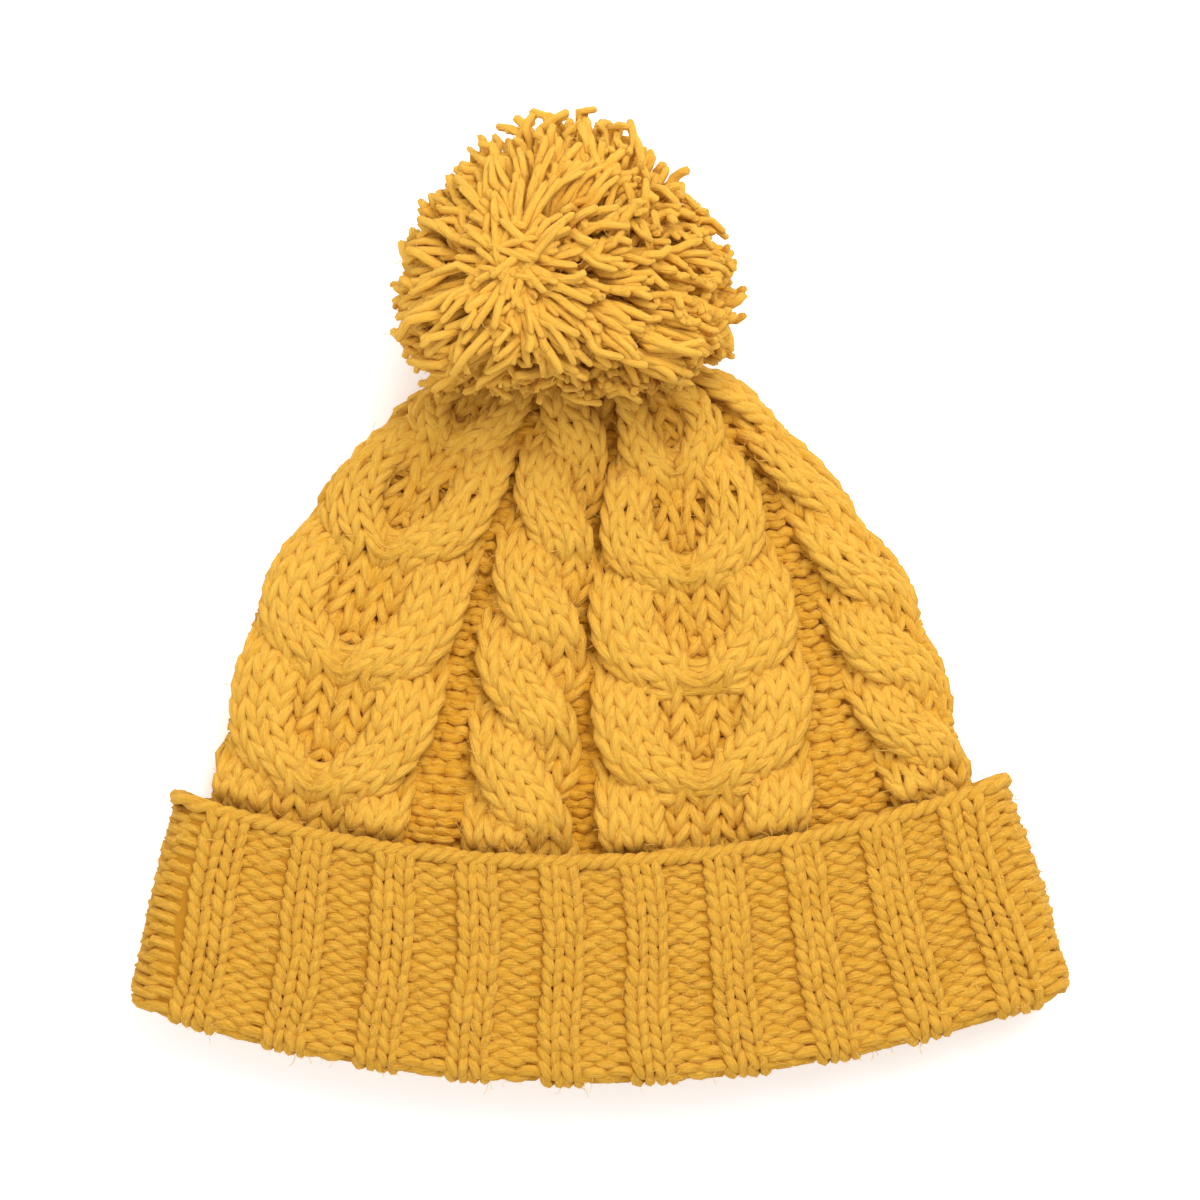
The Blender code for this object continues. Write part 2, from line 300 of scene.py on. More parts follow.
@dataclass(frozen=True)
class Yarn:
    """The thick single-ply wool."""

    radius: float = 0.00174
    sides: int = 6
    uneven: float = 0.07


@dataclass(frozen=True)
class Stitch:
    """The path of the yarn through one stitch, in stitch widths, rows and metres.

    `stray` says how far single stitches differ across, along and outwards.
    """

    sway: float = 0.285
    bump_sway: float = 0.33
    skew: float = 0.0
    reach: float = 0.98
    bump_reach: float = 0.76
    depth: float = 0.0013
    stray: tuple[float, float, float] = (0.035, 0.045, 0.08)
    spread: tuple[float, ...] = (-0.30, -0.15, 0.0, 0.15, 0.30)

    def path(self, knit: Knit) -> tuple[Array, Array, Array]:
        """Walks through one stitch with most points where it shows.

        Args:
            knit: which side faces outwards.

        Returns:
            Places across (0 to 1), along in rows, and outwards in metres.
        """
        legs = knit is Knit.LEGS
        middles = (0.5, 1.5) if legs else (0.0, 1.0)
        t = np.array([middle + step for middle in middles for step in self.spread]) * math.pi
        sway = self.sway + self.skew * np.sin(t) if legs else self.bump_sway
        reach = self.reach if legs else self.bump_reach
        across = t / (2 * math.pi) + sway * np.sin(2 * t)
        return across, -reach * np.cos(t), -knit.value * self.depth * np.cos(2 * t)


@dataclass
class Paths:
    """Yarn paths gathered for one piece, with the yarn's radius, tone and depth at each point."""

    points: list[Array] = field(default_factory=list)
    radii: list[Array] = field(default_factory=list)
    tones: list[Array] = field(default_factory=list)
    depths: list[Array] = field(default_factory=list)

    def add(self, points: Array, radii: Array, tones: Array, depths: Array) -> None:
        """Adds one yarn.

        Args:
            points: where it runs.
            radii: how thick it is, at each point or all along.
            tones: its tone, likewise.
            depths: how far it stands out, which sets its painted shade, likewise.
        """
        self.points.append(points)
        self.radii.append(np.broadcast_to(radii, len(points)).astype(float))
        self.tones.append(np.broadcast_to(tones, len(points)).astype(float))
        self.depths.append(np.broadcast_to(depths, len(points)).astype(float))

    def mesh(self, name: str) -> bpy.types.Mesh:
        """Makes a mesh of bare edges with the numbers that the sweep reads.

        Args:
            name: its name.

        Returns:
            The mesh.
        """
        points = np.concatenate(self.points)
        ends = np.cumsum([len(run) for run in self.points])
        first = np.arange(len(points) - 1)
        first = first[~np.isin(first + 1, ends)]
        mesh = bpy.data.meshes.new(name)
        mesh.from_pydata(points.tolist(), np.stack([first, first + 1], axis=1).tolist(), [])
        for label, runs in (("thickness", self.radii), ("tone", self.tones), ("depth", self.depths)):
            layer = mesh.attributes.new(label, "FLOAT", "POINT")
            layer.data.foreach_set("value", np.concatenate(runs).astype(np.float32))
        return mesh


def linked(name: str, data: bpy.types.ID) -> bpy.types.Object:
    """Makes an object that holds some data and puts it into the scene.

    Args:
        name: the object's name.
        data: the mesh, lamp or camera that it holds.

    Returns:
        The object.
    """
    made = bpy.data.objects.new(name, data)
    bpy.context.scene.collection.objects.link(made)
    return made


def add_node(
    tree: bpy.types.NodeTree, kind: str, settings: dict[str, object] | None = None, **sockets: object
) -> bpy.types.Node:
    """Adds a node.

    Args:
        tree: the tree that it goes into.
        kind: the node's type.
        settings: its settings, which are set first.
        sockets: a value or a link for each of its inputs, by name with `_` for a space.

    Returns:
        The node.
    """
    node = tree.nodes.new(kind)
    for name, value in (settings or {}).items():
        setattr(node, name, value)
    for name, value in sockets.items():
        label = name.replace("_", " ")
        socket = next(item for item in node.inputs if item.name == label and item.enabled)
        value = value.socket if isinstance(value, Shade) else value
        if isinstance(value, bpy.types.NodeSocket):
            tree.links.new(value, socket)
        else:
            socket.default_value = value
    return node


class NodeGroup:
    """A Geometry Nodes tree with named inputs that makes one plain piece out of a mesh."""

    def __init__(self, name: str, inputs: dict[str, str]) -> None:
        """Starts the tree with its inputs and its last nodes.

        Args:
            name: the tree's name.
            inputs: each input's kind of socket by the input's name; `Finish` is the piece's material.
        """
        self.tree = bpy.data.node_groups.new(name, "GeometryNodeTree")
        face = self.tree.interface
        self.sockets = {
            label: face.new_socket(name=label, in_out="INPUT", socket_type=f"NodeSocket{kind}")
            for label, kind in inputs.items()
        }
        face.new_socket(name="Piece", in_out="OUTPUT", socket_type="NodeSocketGeometry")
        self.inlet = self.node("NodeGroupInput")
        self.whole = self.node("GeometryNodeRealizeInstances")
        finish = self.node("GeometryNodeSetMaterial")
        self.chain(self.whole, finish, self.node("NodeGroupOutput"))
        self.link(self.inlet, "Finish", finish, "Material")

    def node(self, kind: str, settings: dict[str, object] | None = None, **sockets: object) -> bpy.types.Node:
        """Adds a node with its settings and the values or links of its sockets."""
        return add_node(self.tree, kind, settings, **sockets)

    def named(self, name: str) -> bpy.types.Node:
        """Adds a node that reads a number that each point carries under a name."""
        return self.node("GeometryNodeInputNamedAttribute", {"data_type": "FLOAT"}, Name=name)

    def link(self, source: bpy.types.Node, out: str | int, target: bpy.types.Node, into: str | int) -> None:
        """Joins two sockets."""
        self.tree.links.new(source.outputs[out], target.inputs[into])

    def chain(self, *nodes: bpy.types.Node) -> None:
        """Joins nodes one after the other through their first sockets."""
        for before, after in zip(nodes, nodes[1:]):
            self.link(before, 0, after, 0)

    def run(self, source: bpy.types.Mesh, name: str, values: dict[str, object]) -> bpy.types.Object:
        """Runs the tree on a mesh.

        Args:
            source: what it starts from.
            name: the new piece's name.
            values: what the tree's inputs are set to, by name.

        Returns:
            What the tree makes, as a plain mesh object.
        """
        holder = linked(f"{name}_holder", source)
        modifier = holder.modifiers.new("nodes", "NODES")
        modifier.node_group = self.tree
        for label, value in values.items():
            modifier[self.sockets[label].identifier] = value
        scene_graph = bpy.context.evaluated_depsgraph_get()
        mesh = bpy.data.meshes.new_from_object(holder.evaluated_get(scene_graph))
        bpy.data.objects.remove(holder, do_unlink=True)
        mesh.name = name
        return linked(name, mesh)


class YarnSweep(NodeGroup):
    """Turns paths into round yarn and notes where each point lies on it."""

    def __init__(self) -> None:
        """Builds the tree."""
        super().__init__("yarn_sweep", {"Paths": "Geometry", "Sides": "Int", "Finish": "Material"})
        radius = self.node("GeometryNodeSetCurveRadius")
        along = self.store("FLOAT", "along")
        ring = self.node("GeometryNodeCurvePrimitiveCircle", Radius=1.0)
        around = self.store("FLOAT_VECTOR", "around")
        sweep = self.node("GeometryNodeCurveToMesh", Fill_Caps=True)
        smooth = self.node("GeometryNodeSetShadeSmooth")
        thickness = self.named("thickness")
        curve = self.node("GeometryNodeMeshToCurve")
        self.chain(self.inlet, curve, radius, along, sweep, smooth, self.whole)
        self.chain(ring, around)
        self.link(thickness, "Attribute", radius, "Radius")
        self.link(self.node("GeometryNodeSplineParameter"), "Length", along, "Value")
        self.link(self.inlet, "Sides", ring, "Resolution")
        self.link(self.node("GeometryNodeInputPosition"), "Position", around, "Value")
        self.link(around, "Geometry", sweep, "Profile Curve")
        if "Scale" in sweep.inputs:
            self.link(thickness, "Attribute", sweep, "Scale")

    def store(self, kind: str, name: str) -> bpy.types.Node:
        """Adds a node that keeps a value of some kind on each point under a name."""
        settings = {"data_type": kind, "domain": "POINT"}
        return self.node("GeometryNodeStoreNamedAttribute", settings, Name=name)

    def make(self, name: str, paths: Paths, sides: int, finish: bpy.types.Material) -> bpy.types.Object:
        """Sweeps yarn with so many flat sides along paths and gives the swept piece."""
        return self.run(paths.mesh(f"{name}_paths"), name, {"Sides": sides, "Finish": finish})


class Fuzz(NodeGroup):
    """Grows short loose fibres on the yarn that shows.

    A fibre is an arc of length 1 that is scaled when it is set on the yarn. Yarn that lies deep, that
    faces down or that lies near the table carries none.
    """

    arc = ((0.0, 0.0, -0.04), (0.10, 0.03, 0.65), (0.85, 0.0, 0.75))
    fibre_radius = 0.030
    lean = 1.1
    lengths = (0.45, 1.3)
    least_depth = -0.4
    least_slope = -0.1
    least_height = 0.005

    def __init__(self) -> None:
        """Builds the tree."""
        numbers = {"Density": "Float", "Length": "Float", "Seed": "Int"}
        super().__init__("fuzz", {"Yarn": "Geometry", **numbers, "Finish": "Material"})
        scatter = self.node("GeometryNodeDistributePointsOnFaces")
        arc = self.node("GeometryNodeCurveQuadraticBezier", Resolution=2)
        for name, place in zip(("Start", "Middle", "End"), self.arc):
            arc.inputs[name].default_value = place
        hair = self.node("GeometryNodeCurvePrimitiveCircle", Radius=self.fibre_radius, Resolution=3)
        sweep = self.node("GeometryNodeCurveToMesh", Fill_Caps=True)
        least = (-self.lean, -self.lean, 0.0)
        most = (self.lean, self.lean, 2 * math.pi)
        lean = self.node("FunctionNodeRandomValue", {"data_type": "FLOAT_VECTOR"}, Min=least, Max=most)
        turn = self.node("FunctionNodeRotateRotation", {"rotation_space": "LOCAL"})
        size = self.node("FunctionNodeRandomValue", Min=self.lengths[0], Max=self.lengths[1])
        long = self.node("ShaderNodeMath", {"operation": "MULTIPLY"})
        spread = self.node("GeometryNodeInstanceOnPoints")
        self.link(self.shown(), 0, scatter, "Selection")
        self.chain(self.inlet, scatter, spread, self.whole)
        self.chain(arc, sweep)
        self.link(hair, "Curve", sweep, "Profile Curve")
        self.link(sweep, "Mesh", spread, "Instance")
        for name, node in (("Density", scatter), ("Seed", scatter), ("Seed", lean)):
            self.link(self.inlet, name, node, name)
        self.link(scatter, "Rotation", turn, "Rotation")
        self.link(lean, "Value", turn, "Rotate By")
        self.link(turn, "Rotation", spread, "Rotation")
        self.link(size, 1, long, 0)
        self.link(self.inlet, "Length", long, 1)
        self.link(long, "Value", spread, "Scale")

    def shown(self) -> bpy.types.Node:
        """Chooses the yarn that carries fibres.

        Returns:
            The node whose output says so.
        """
        chosen = self.over(self.named("depth"), "Attribute", self.least_depth)
        for kind, least in (
            ("GeometryNodeInputNormal", self.least_slope),
            ("GeometryNodeInputPosition", self.least_height),
        ):
            split = self.node("ShaderNodeSeparateXYZ")
            self.chain(self.node(kind), split)
            both = self.node("FunctionNodeBooleanMath")
            self.link(chosen, 0, both, 0)
            self.link(self.over(split, "Z", least), 0, both, 1)
            chosen = both
        return chosen

    def over(self, source: bpy.types.Node, out: str, limit: float) -> bpy.types.Node:
        """Asks whether a value is over a limit.

        Args:
            source: the node that gives the value.
            out: the name of its output.
            limit: the limit.

        Returns:
            The node whose output says so.
        """
        node = self.node("FunctionNodeCompare", B=limit)
        self.link(source, out, node, 0)
        return node

    def grow(
        self, yarn: bpy.types.Object, name: str, density: float, length: float, finish: bpy.types.Material
    ) -> bpy.types.Object:
        """Grows fibres on a piece.

        Args:
            yarn: what they grow on.
            name: the new piece's name.
            density: fibres for each square metre of its surface.
            length: how long they are.
            finish: their material.

        Returns:
            The fibres as a plain mesh object.
        """
        values = {"Density": density, "Length": length, "Seed": SEED, "Finish": finish}
        return self.run(yarn.data, name, values)


@dataclass
class Knitter:
    """Lays rows of stitches over the body."""

    surface: Surface
    yarn: Yarn
    stitch: Stitch
    seed: int

    def __post_init__(self) -> None:
        """Starts the fixed run of random numbers that makes the stitches uneven."""
        self.picks = np.random.default_rng(self.seed)

    def plainer(self) -> Knitter:
        """Gives a knitter whose stitches have fewer faces, for the sides that lie hidden."""
        stitch = replace(self.stitch, spread=(-0.27, -0.09, 0.09, 0.27))
        return Knitter(self.surface, replace(self.yarn, sides=4), stitch, self.seed + 7)

    def finer(self) -> Knitter:
        """Gives a knitter whose stitches have more points, for where the fabric turns sharply."""
        stitch = replace(self.stitch, spread=tuple(np.linspace(-0.36, 0.36, 9)))
        return Knitter(self.surface, self.yarn, stitch, self.seed + 5)

    def run(self, columns: int, knit: Knit) -> tuple[Array, Array, Array, Array, Array]:
        """Walks through several like stitches side by side.

        Args:
            columns: how many stitches.
            knit: which side faces outwards.

        Returns:
            Places across the band (0 to 1), along in rows, outwards in metres, radius shares and tones.
        """
        across, along, out = self.stitch.path(knit)
        count = len(across)
        jitter = self.picks.normal(0, 1, (columns, 5))
        column = np.arange(columns)[:, None]
        stray = self.stitch.stray
        across = (column + across + stray[0] * jitter[:, :1]) / columns
        along = along + stray[1] * jitter[:, 1:2] + np.zeros((columns, count))
        out = out * (1 + stray[2] * jitter[:, 2:3])
        radius = 1 + self.yarn.uneven * jitter[:, 3:4] + np.zeros((columns, count))
        tone = jitter[:, 4:5] + np.zeros((columns, count))
        return across.ravel(), along.ravel(), out.ravel(), radius.ravel(), tone.ravel()


@dataclass(frozen=True)
class Cable:
    """One cable: two strands twisted into a rope, or two such ropes side by side as mirror images."""

    name: str
    ropes: int
    repeat: float
    start: float
    rise: float = 0.0046
    cross: float = 0.0028
    spread: float = 0.43
    half: float = 0.61
    cross_gain: float = 1.08
    cross_softness: float = 0.16
    beside: float = -1.0

    def lines(self, up: Array) -> tuple[Array, Array]:
        """Gives the middle and the half width of the cable at a height.

        Args:
            up: the height.

        Returns:
            The middle and the half width, as `front` places.
        """
        ups = [row.up for row in CABLE_LINES]
        left = curve_through(ups, [getattr(row, self.name)[0] for row in CABLE_LINES], up)
        right = curve_through(ups, [getattr(row, self.name)[1] for row in CABLE_LINES], up)
        return (left + right) / 2, (right - left) / 2

    def count(self, up: Array) -> Array:
        """Counts the crossings that start below a height."""
        return (up - self.start) / self.repeat

    def swing(self, up: Array, side: int) -> Array:
        """Gives where a strand's middle lies across its rope.

        Args:
            up: heights.
            side: 1 or -1 for the rope's two strands.

        Returns:
            Places across the rope, from -1 to 1.
        """
        count = self.count(up)
        whole = np.floor(count)
        course = [row.twist if self.ropes == 1 else row.split for row in STRIDES]
        place = curve_through([row.share for row in STRIDES], course, count - whole)
        return side * self.spread * np.where(whole % 2 == 0, place, -place)

    def crossing(self, up: Array, side: int) -> Array:
        """Says whether a strand passes in front (1) or behind (-1), with a quick change between."""
        wave = side * np.sin(math.pi * self.count(up))
        return wave * self.cross_gain / np.sqrt(wave**2 + self.cross_softness)

    def relief(self, front: Array, up: Array) -> Array:
        """Gives the height of the rope over the purl ground.

        Args:
            front: places across the half.
            up: heights.

        Returns:
            The height, or a large negative number beside the cable.
        """
        middle, half = self.lines(up)
        place = (front - middle) / half
        across = place if self.ropes == 1 else 1 - 2 * np.abs(place)
        height = np.full(np.shape(front), self.beside)
        for side in (1, -1):
            dome = 1 - ((across - self.swing(up, side)) / self.half) ** 2
            top = self.cross * self.crossing(up, side) + self.rise * np.sqrt(np.maximum(dome, 0))
            height = np.maximum(height, np.where(dome > 0, top, self.beside))
        return height

    def evened(self, up: Array, surface: Surface) -> Array:
        """Moves rows so that their stitches are as long where the strands run aslant as elsewhere.

        Args:
            up: the rows' heights.
            surface: what the cable lies on.

        Returns:
            The heights along the strands.
        """
        fine = np.linspace(0.2, 1.0, 801)
        reach = self.lines(fine)[1] * surface.front_unit(fine) / self.ropes
        slope = np.gradient(self.swing(fine, 1), fine) * reach / surface.body.length
        run = np.concatenate([[0], np.cumsum(np.hypot(1, slope)[1:] * np.diff(fine))])
        count = self.count(fine)
        whole = np.arange(math.ceil(count[0]), math.floor(count[-1]) + 1)
        marks = self.start + whole * self.repeat
        even = run - np.interp(fine, marks, np.interp(marks, fine, run) - marks)
        return np.interp(up, even, fine)

    def on_front(self, across: Array, up: Array, rope: int) -> Array:
        """Turns a place across a rope into a `front` place.

        Args:
            across: places across the rope.
            up: their heights.
            rope: the rope, as `rope_signs` lists them.

        Returns:
            The `front` places.
        """
        middle, half = self.lines(up)
        if self.ropes == 1:
            return middle + half * across
        return middle + rope * half * (1 - across) / 2

    def rope_signs(self) -> tuple[int, ...]:
        """Lists the ropes from left to right: 0 for a single one, -1 and 1 for mirror images."""
        return (0,) if self.ropes == 1 else (-1, 1)


@dataclass
class Crown:
    """The cabled crown.

    `slits` says how far the purl stitches right of each cable sink and how much more painted shade darkens
    them.
    The fields that start with `bow` shape the yarns round the foot of each U, and those that start with
    `wall` the fabric behind the stitches, whose dark wool is painted shade.
    `nap` is how many loose fibres grow on a square metre.
    """

    surface: Surface
    knitter: Knitter
    sweep: YarnSweep
    finish: bpy.types.Material
    # The dark wool of the fabric behind the stitches, painted shade that shows through the gaps.
    backing_shade: bpy.types.Material
    first_up: float = 0.262
    last_up: float = 0.972
    rows: int = 32
    stitch_width: float = 0.0054
    cuff_floor: float = 0.0058
    cuff_up: float = 0.3112
    slits: tuple[float, ...] = (0.5, 1.5, 0.2, 0.0)
    slit_sink: float = 0.0009
    slant_share: float = 0.8
    most_slant: float = 1.9
    widening: float = 0.8
    hidden_widening: float = 0.42
    dome_share: float = 0.97
    side_flattening: float = 0.45
    depth_level: float = 0.004
    depth_gain: float = 170
    fitting_width: float = 0.0056
    thinnest: float = 0.72
    thickest: float = 1.06
    bow_count: int = 4
    bow_points: int = 13
    bow_shares: tuple[float, ...] = (0.0, 0.06, 0.12, 0.18)
    bow_reach: float = 0.26
    bow_sag: float = 0.15
    bow_least: float = 0.0024
    bow_lift: float = 0.0017
    bow_dip: float = 0.0016
    wall_turns: int = 180
    wall_levels: int = 44
    nap: float = 44000
    cables: tuple[Cable, ...] = (
        Cable("wide_a", ropes=2, repeat=0.154, start=0.364),
        Cable("narrow_a", ropes=1, repeat=0.122, start=0.346),
        Cable("wide_b", ropes=2, repeat=0.138, start=0.395),
        Cable("narrow_b", ropes=1, repeat=0.116, start=0.361),
    )

    def fade(self, up: Array) -> Array:
        """Says how fully the cables stand up: they start under the cuff and end under the pompom."""
        start = ease(up, self.cuff_up - 0.010, self.cuff_up + 0.030)
        return start * (1 - ease(up, 0.90, 0.965))

    def floor(self, up: Array) -> Array:
        """Gives what the yarn lies on: the cuff's lower layer near the rim, then the table."""
        return self.cuff_floor * (1 - ease(up, self.cuff_up + 0.02, self.cuff_up + 0.10))

    def strand(self, cable: Cable, rope: int, side: int, q: Array, up: Array) -> tuple[Array, Array, Array]:
        """Lays one strand of a cable.

        Args:
            cable: the cable.
            rope: its rope, as `rope_signs` lists them.
            side: 1 or -1 for the rope's two strands.
            q: places across the strand, from -1 to 1 in the rope's own direction.
            up: heights before the strand's slant turns its rows.

        Returns:
            `front` places, heights and how far the strand stands up.
        """
        step = 0.004
        up = cable.evened(up, self.surface)
        half = cable.lines(up)[1]
        unit = self.surface.front_unit(up) / cable.ropes * half
        slope = (cable.swing(up + step, side) - cable.swing(up - step, side)) / (2 * step)
        angle = np.arctan(slope * unit / self.surface.body.length)
        turned = up - self.slant_share * q * cable.half * unit * np.sin(angle) / self.surface.body.length
        crossing = cable.crossing(turned, side)
        wide = np.minimum(1 / np.cos(angle), self.most_slant) ** self.widening
        wide = wide * (1 + self.hidden_widening * np.maximum(-crossing, 0) ** 2)
        across = cable.swing(turned, side) + q * cable.half * wide
        lifted = cable.cross * crossing
        dome = cable.rise * np.sqrt(np.maximum(1 - (self.dome_share * q) ** 2, 0))
        front = cable.on_front(across, turned, rope)
        flat = 1 - self.side_flattening * ease(np.abs(front), 0.78, 1.0)
        return front, turned, (lifted + dome) * self.fade(turned) * flat

    def edge(self, cable: Cable, up: Array, side: int) -> Array:
        """Gives how far a cable's strands reach sideways.

        Args:
            cable: the cable.
            up: heights.
            side: -1 for its left side, 1 for its right.

        Returns:
            The `front` places that its strands reach to.
        """
        reach = np.abs(cable.swing(up, 1)) + cable.half
        if cable.ropes == 1:
            return cable.on_front(side * reach, up, 0)
        return cable.on_front(-reach, up, side)

    def lay(self, paths: Paths, parts: list[tuple[Array, ...]]) -> None:
        """Joins the stretches of one row into one yarn and adds it.

        Args:
            paths: where the yarn is gathered.
            parts: the stretches, as `row` gives them.
        """
        front, up, height, radius, tone, depth, half = (np.concatenate(column) for column in zip(*parts))
        turn = (front + 1) / 4 + half * 0.5
        floor = self.floor(up) + radius * 0.95
        points = self.surface.place(turn, up, height - radius - self.knitter.stitch.depth, floor)
        paths.add(points, radius, tone, depth)

    def row(self, knitter: Knitter, index: int, half: int) -> list[tuple[Array, ...]]:
        """Lays one row over one half of the crown.

        Args:
            knitter: lays its stitches.
            index: which row, counted from the rim.
            half: 0 for the upper side, 1 for the underside.

        Returns:
            Stretches of yarn, each as front, up, height, radius, tone, depth and half.
        """
        pitch = (self.last_up - self.first_up) / self.rows
        up = self.first_up + (index + 0.5) * pitch
        at = np.array([up])
        unit = float(self.surface.front_unit(at)[0])
        parts: list[tuple[Array, ...]] = []
        count = len(self.cables)
        for place, cable in enumerate(self.cables):
            strands = [(rope, side) for rope in cable.rope_signs() for side in (1, -1)]
            strands.sort(key=lambda pair: float(cable.on_front(cable.swing(at, pair[1]), at, pair[0])[0]))
            half_width = float(cable.lines(at)[1][0]) * unit / cable.ropes
            columns = int(np.clip(round(2 * cable.half * half_width / self.stitch_width), 1, 3))
            radius = self.radius(2 * cable.half * half_width / columns)
            for rope, side in strands:
                x, y, out, rough, tone = knitter.run(columns, Knit.LEGS)
                q = (2 * x - 1) * (-1 if rope == 1 else 1)
                front, turned, height = self.strand(cable, rope, side, q, up + y * pitch)
                # Painted shade: the lower a strand lies in the relief, the darker it is drawn.
                depth = out / self.knitter.stitch.depth + self.depth_gain * (height - self.depth_level)
                parts.append((front, turned, height + out, rough * radius, tone, depth, half + 0 * x))
            following = self.cables[(place + 1) % count]
            wrap = 2 if place + 1 == count else 0
            left = float(self.edge(cable, at, 1)[0])
            right = float(self.edge(following, at, -1)[0]) + wrap
            columns = int(np.clip(round((right - left) * unit / self.stitch_width), 1, 4))
            radius = self.radius((right - left) * unit / columns)
            x, y, out, rough, tone = knitter.run(columns, Knit.BUMPS)
            heights = up + y * pitch
            left_edge = self.edge(cable, heights, 1)
            right_edge = self.edge(following, heights, -1) + wrap
            front = left_edge + (right_edge - left_edge) * x
            # Painted shade: purl stitches are drawn darker, and those in a slit beside a cable darker still.
            slit = self.slits[place] * (1 - half)
            depth = out / self.knitter.stitch.depth - 1.0 - slit
            height = out - self.slit_sink * slit
            parts.append((front, heights, height, rough * radius, tone, depth, half + 0 * x))
        return parts

    def bows(self, cable: Cable) -> list[tuple[Array, ...]]:
        """Lays the yarns that run round the foot of each U where a double cable's inner strands part.

        Args:
            cable: the cable; one with a single rope has no U and no bow.

        Returns:
            One stretch of yarn for each bow, as `row` gives them.
        """
        across = np.linspace(-1, 1, self.bow_points)
        bows = []
        for mark in range(self.bow_count if cable.ropes == 2 else 0):
            for share in self.bow_shares:
                up = cable.start + (mark + share + self.bow_sag * across**2) * cable.repeat
                middle, half = cable.lines(up)
                front = middle + self.bow_reach * half * across
                height = np.maximum(cable.relief(front, up), self.bow_least) + self.bow_lift
                height = height - self.bow_dip * across**4
                radius = self.knitter.yarn.radius * (0.94 - 0.12 * across**4)
                tone = 0.8 * np.sin(5 * mark + 40 * share) + 0 * across
                # Painted shade: a bow darkens towards its ends, where it passes under the strands.
                bows.append((front, up, height * self.fade(up), radius, tone, 0.7 - across**4, 0 * across))
        return bows

    def radius(self, width: float) -> float:
        """Gives the yarn's radius in a stitch of a given width."""
        share = float(np.clip(width / self.fitting_width, self.thinnest, self.thickest))
        return self.knitter.yarn.radius * share

    def wall_mesh(self) -> bpy.types.Object:
        """Builds the fabric's body between its outer loops and its inside.

        Returns:
            The body as a closed piece.
        """
        turns = np.arange(self.wall_turns) / self.wall_turns
        ups = np.linspace(self.first_up, self.surface.last_up, self.wall_levels)
        outside = []
        for up in ups:
            floor = float(self.floor(np.array([up]))[0]) + 0.0006
            front = np.where(turns < 0.5, turns, turns - 0.5) * 4 - 1
            relief = np.max([cable.relief(front, np.full(len(turns), up)) for cable in self.cables], axis=0)
            height = np.maximum(-0.0032, relief * float(self.fade(np.array([up]))[0]) - 0.0040)
            outside.append(self.surface.place(turns, np.full(len(turns), up), height, floor))
        inside = []
        for up in ups[:-3]:
            height = np.full(len(turns), -self.surface.body.wall)
            inside.append(self.surface.place(turns, np.full(len(turns), up), height, 0.002))
        tip = self.surface.body.ring(np.zeros(1), 1.0)[0]
        inner_tip = inside[-1].mean(axis=0) + (0, self.surface.body.wall, 0)
        return closed_skin("crown_inside", inside[::-1] + outside, self.backing_shade, inner_tip, tip)

    def build(self) -> list[bpy.types.Object]:
        """Knits both halves and the body of the fabric behind them.

        Returns:
            The pieces, the upper side first.
        """
        pieces = []
        for half, name, knitter in (
            (0, "crown_upper_knit", self.knitter),
            (1, "crown_under_knit", self.knitter.plainer()),
        ):
            paths = Paths()
            for index in range(self.rows):
                self.lay(paths, self.row(knitter, index, half))
            for cable in self.cables if half == 0 else ():
                for bow in self.bows(cable):
                    self.lay(paths, [bow])
            pieces.append(self.sweep.make(name, paths, knitter.yarn.sides, self.finish))
        pieces.append(self.wall_mesh())
        return pieces


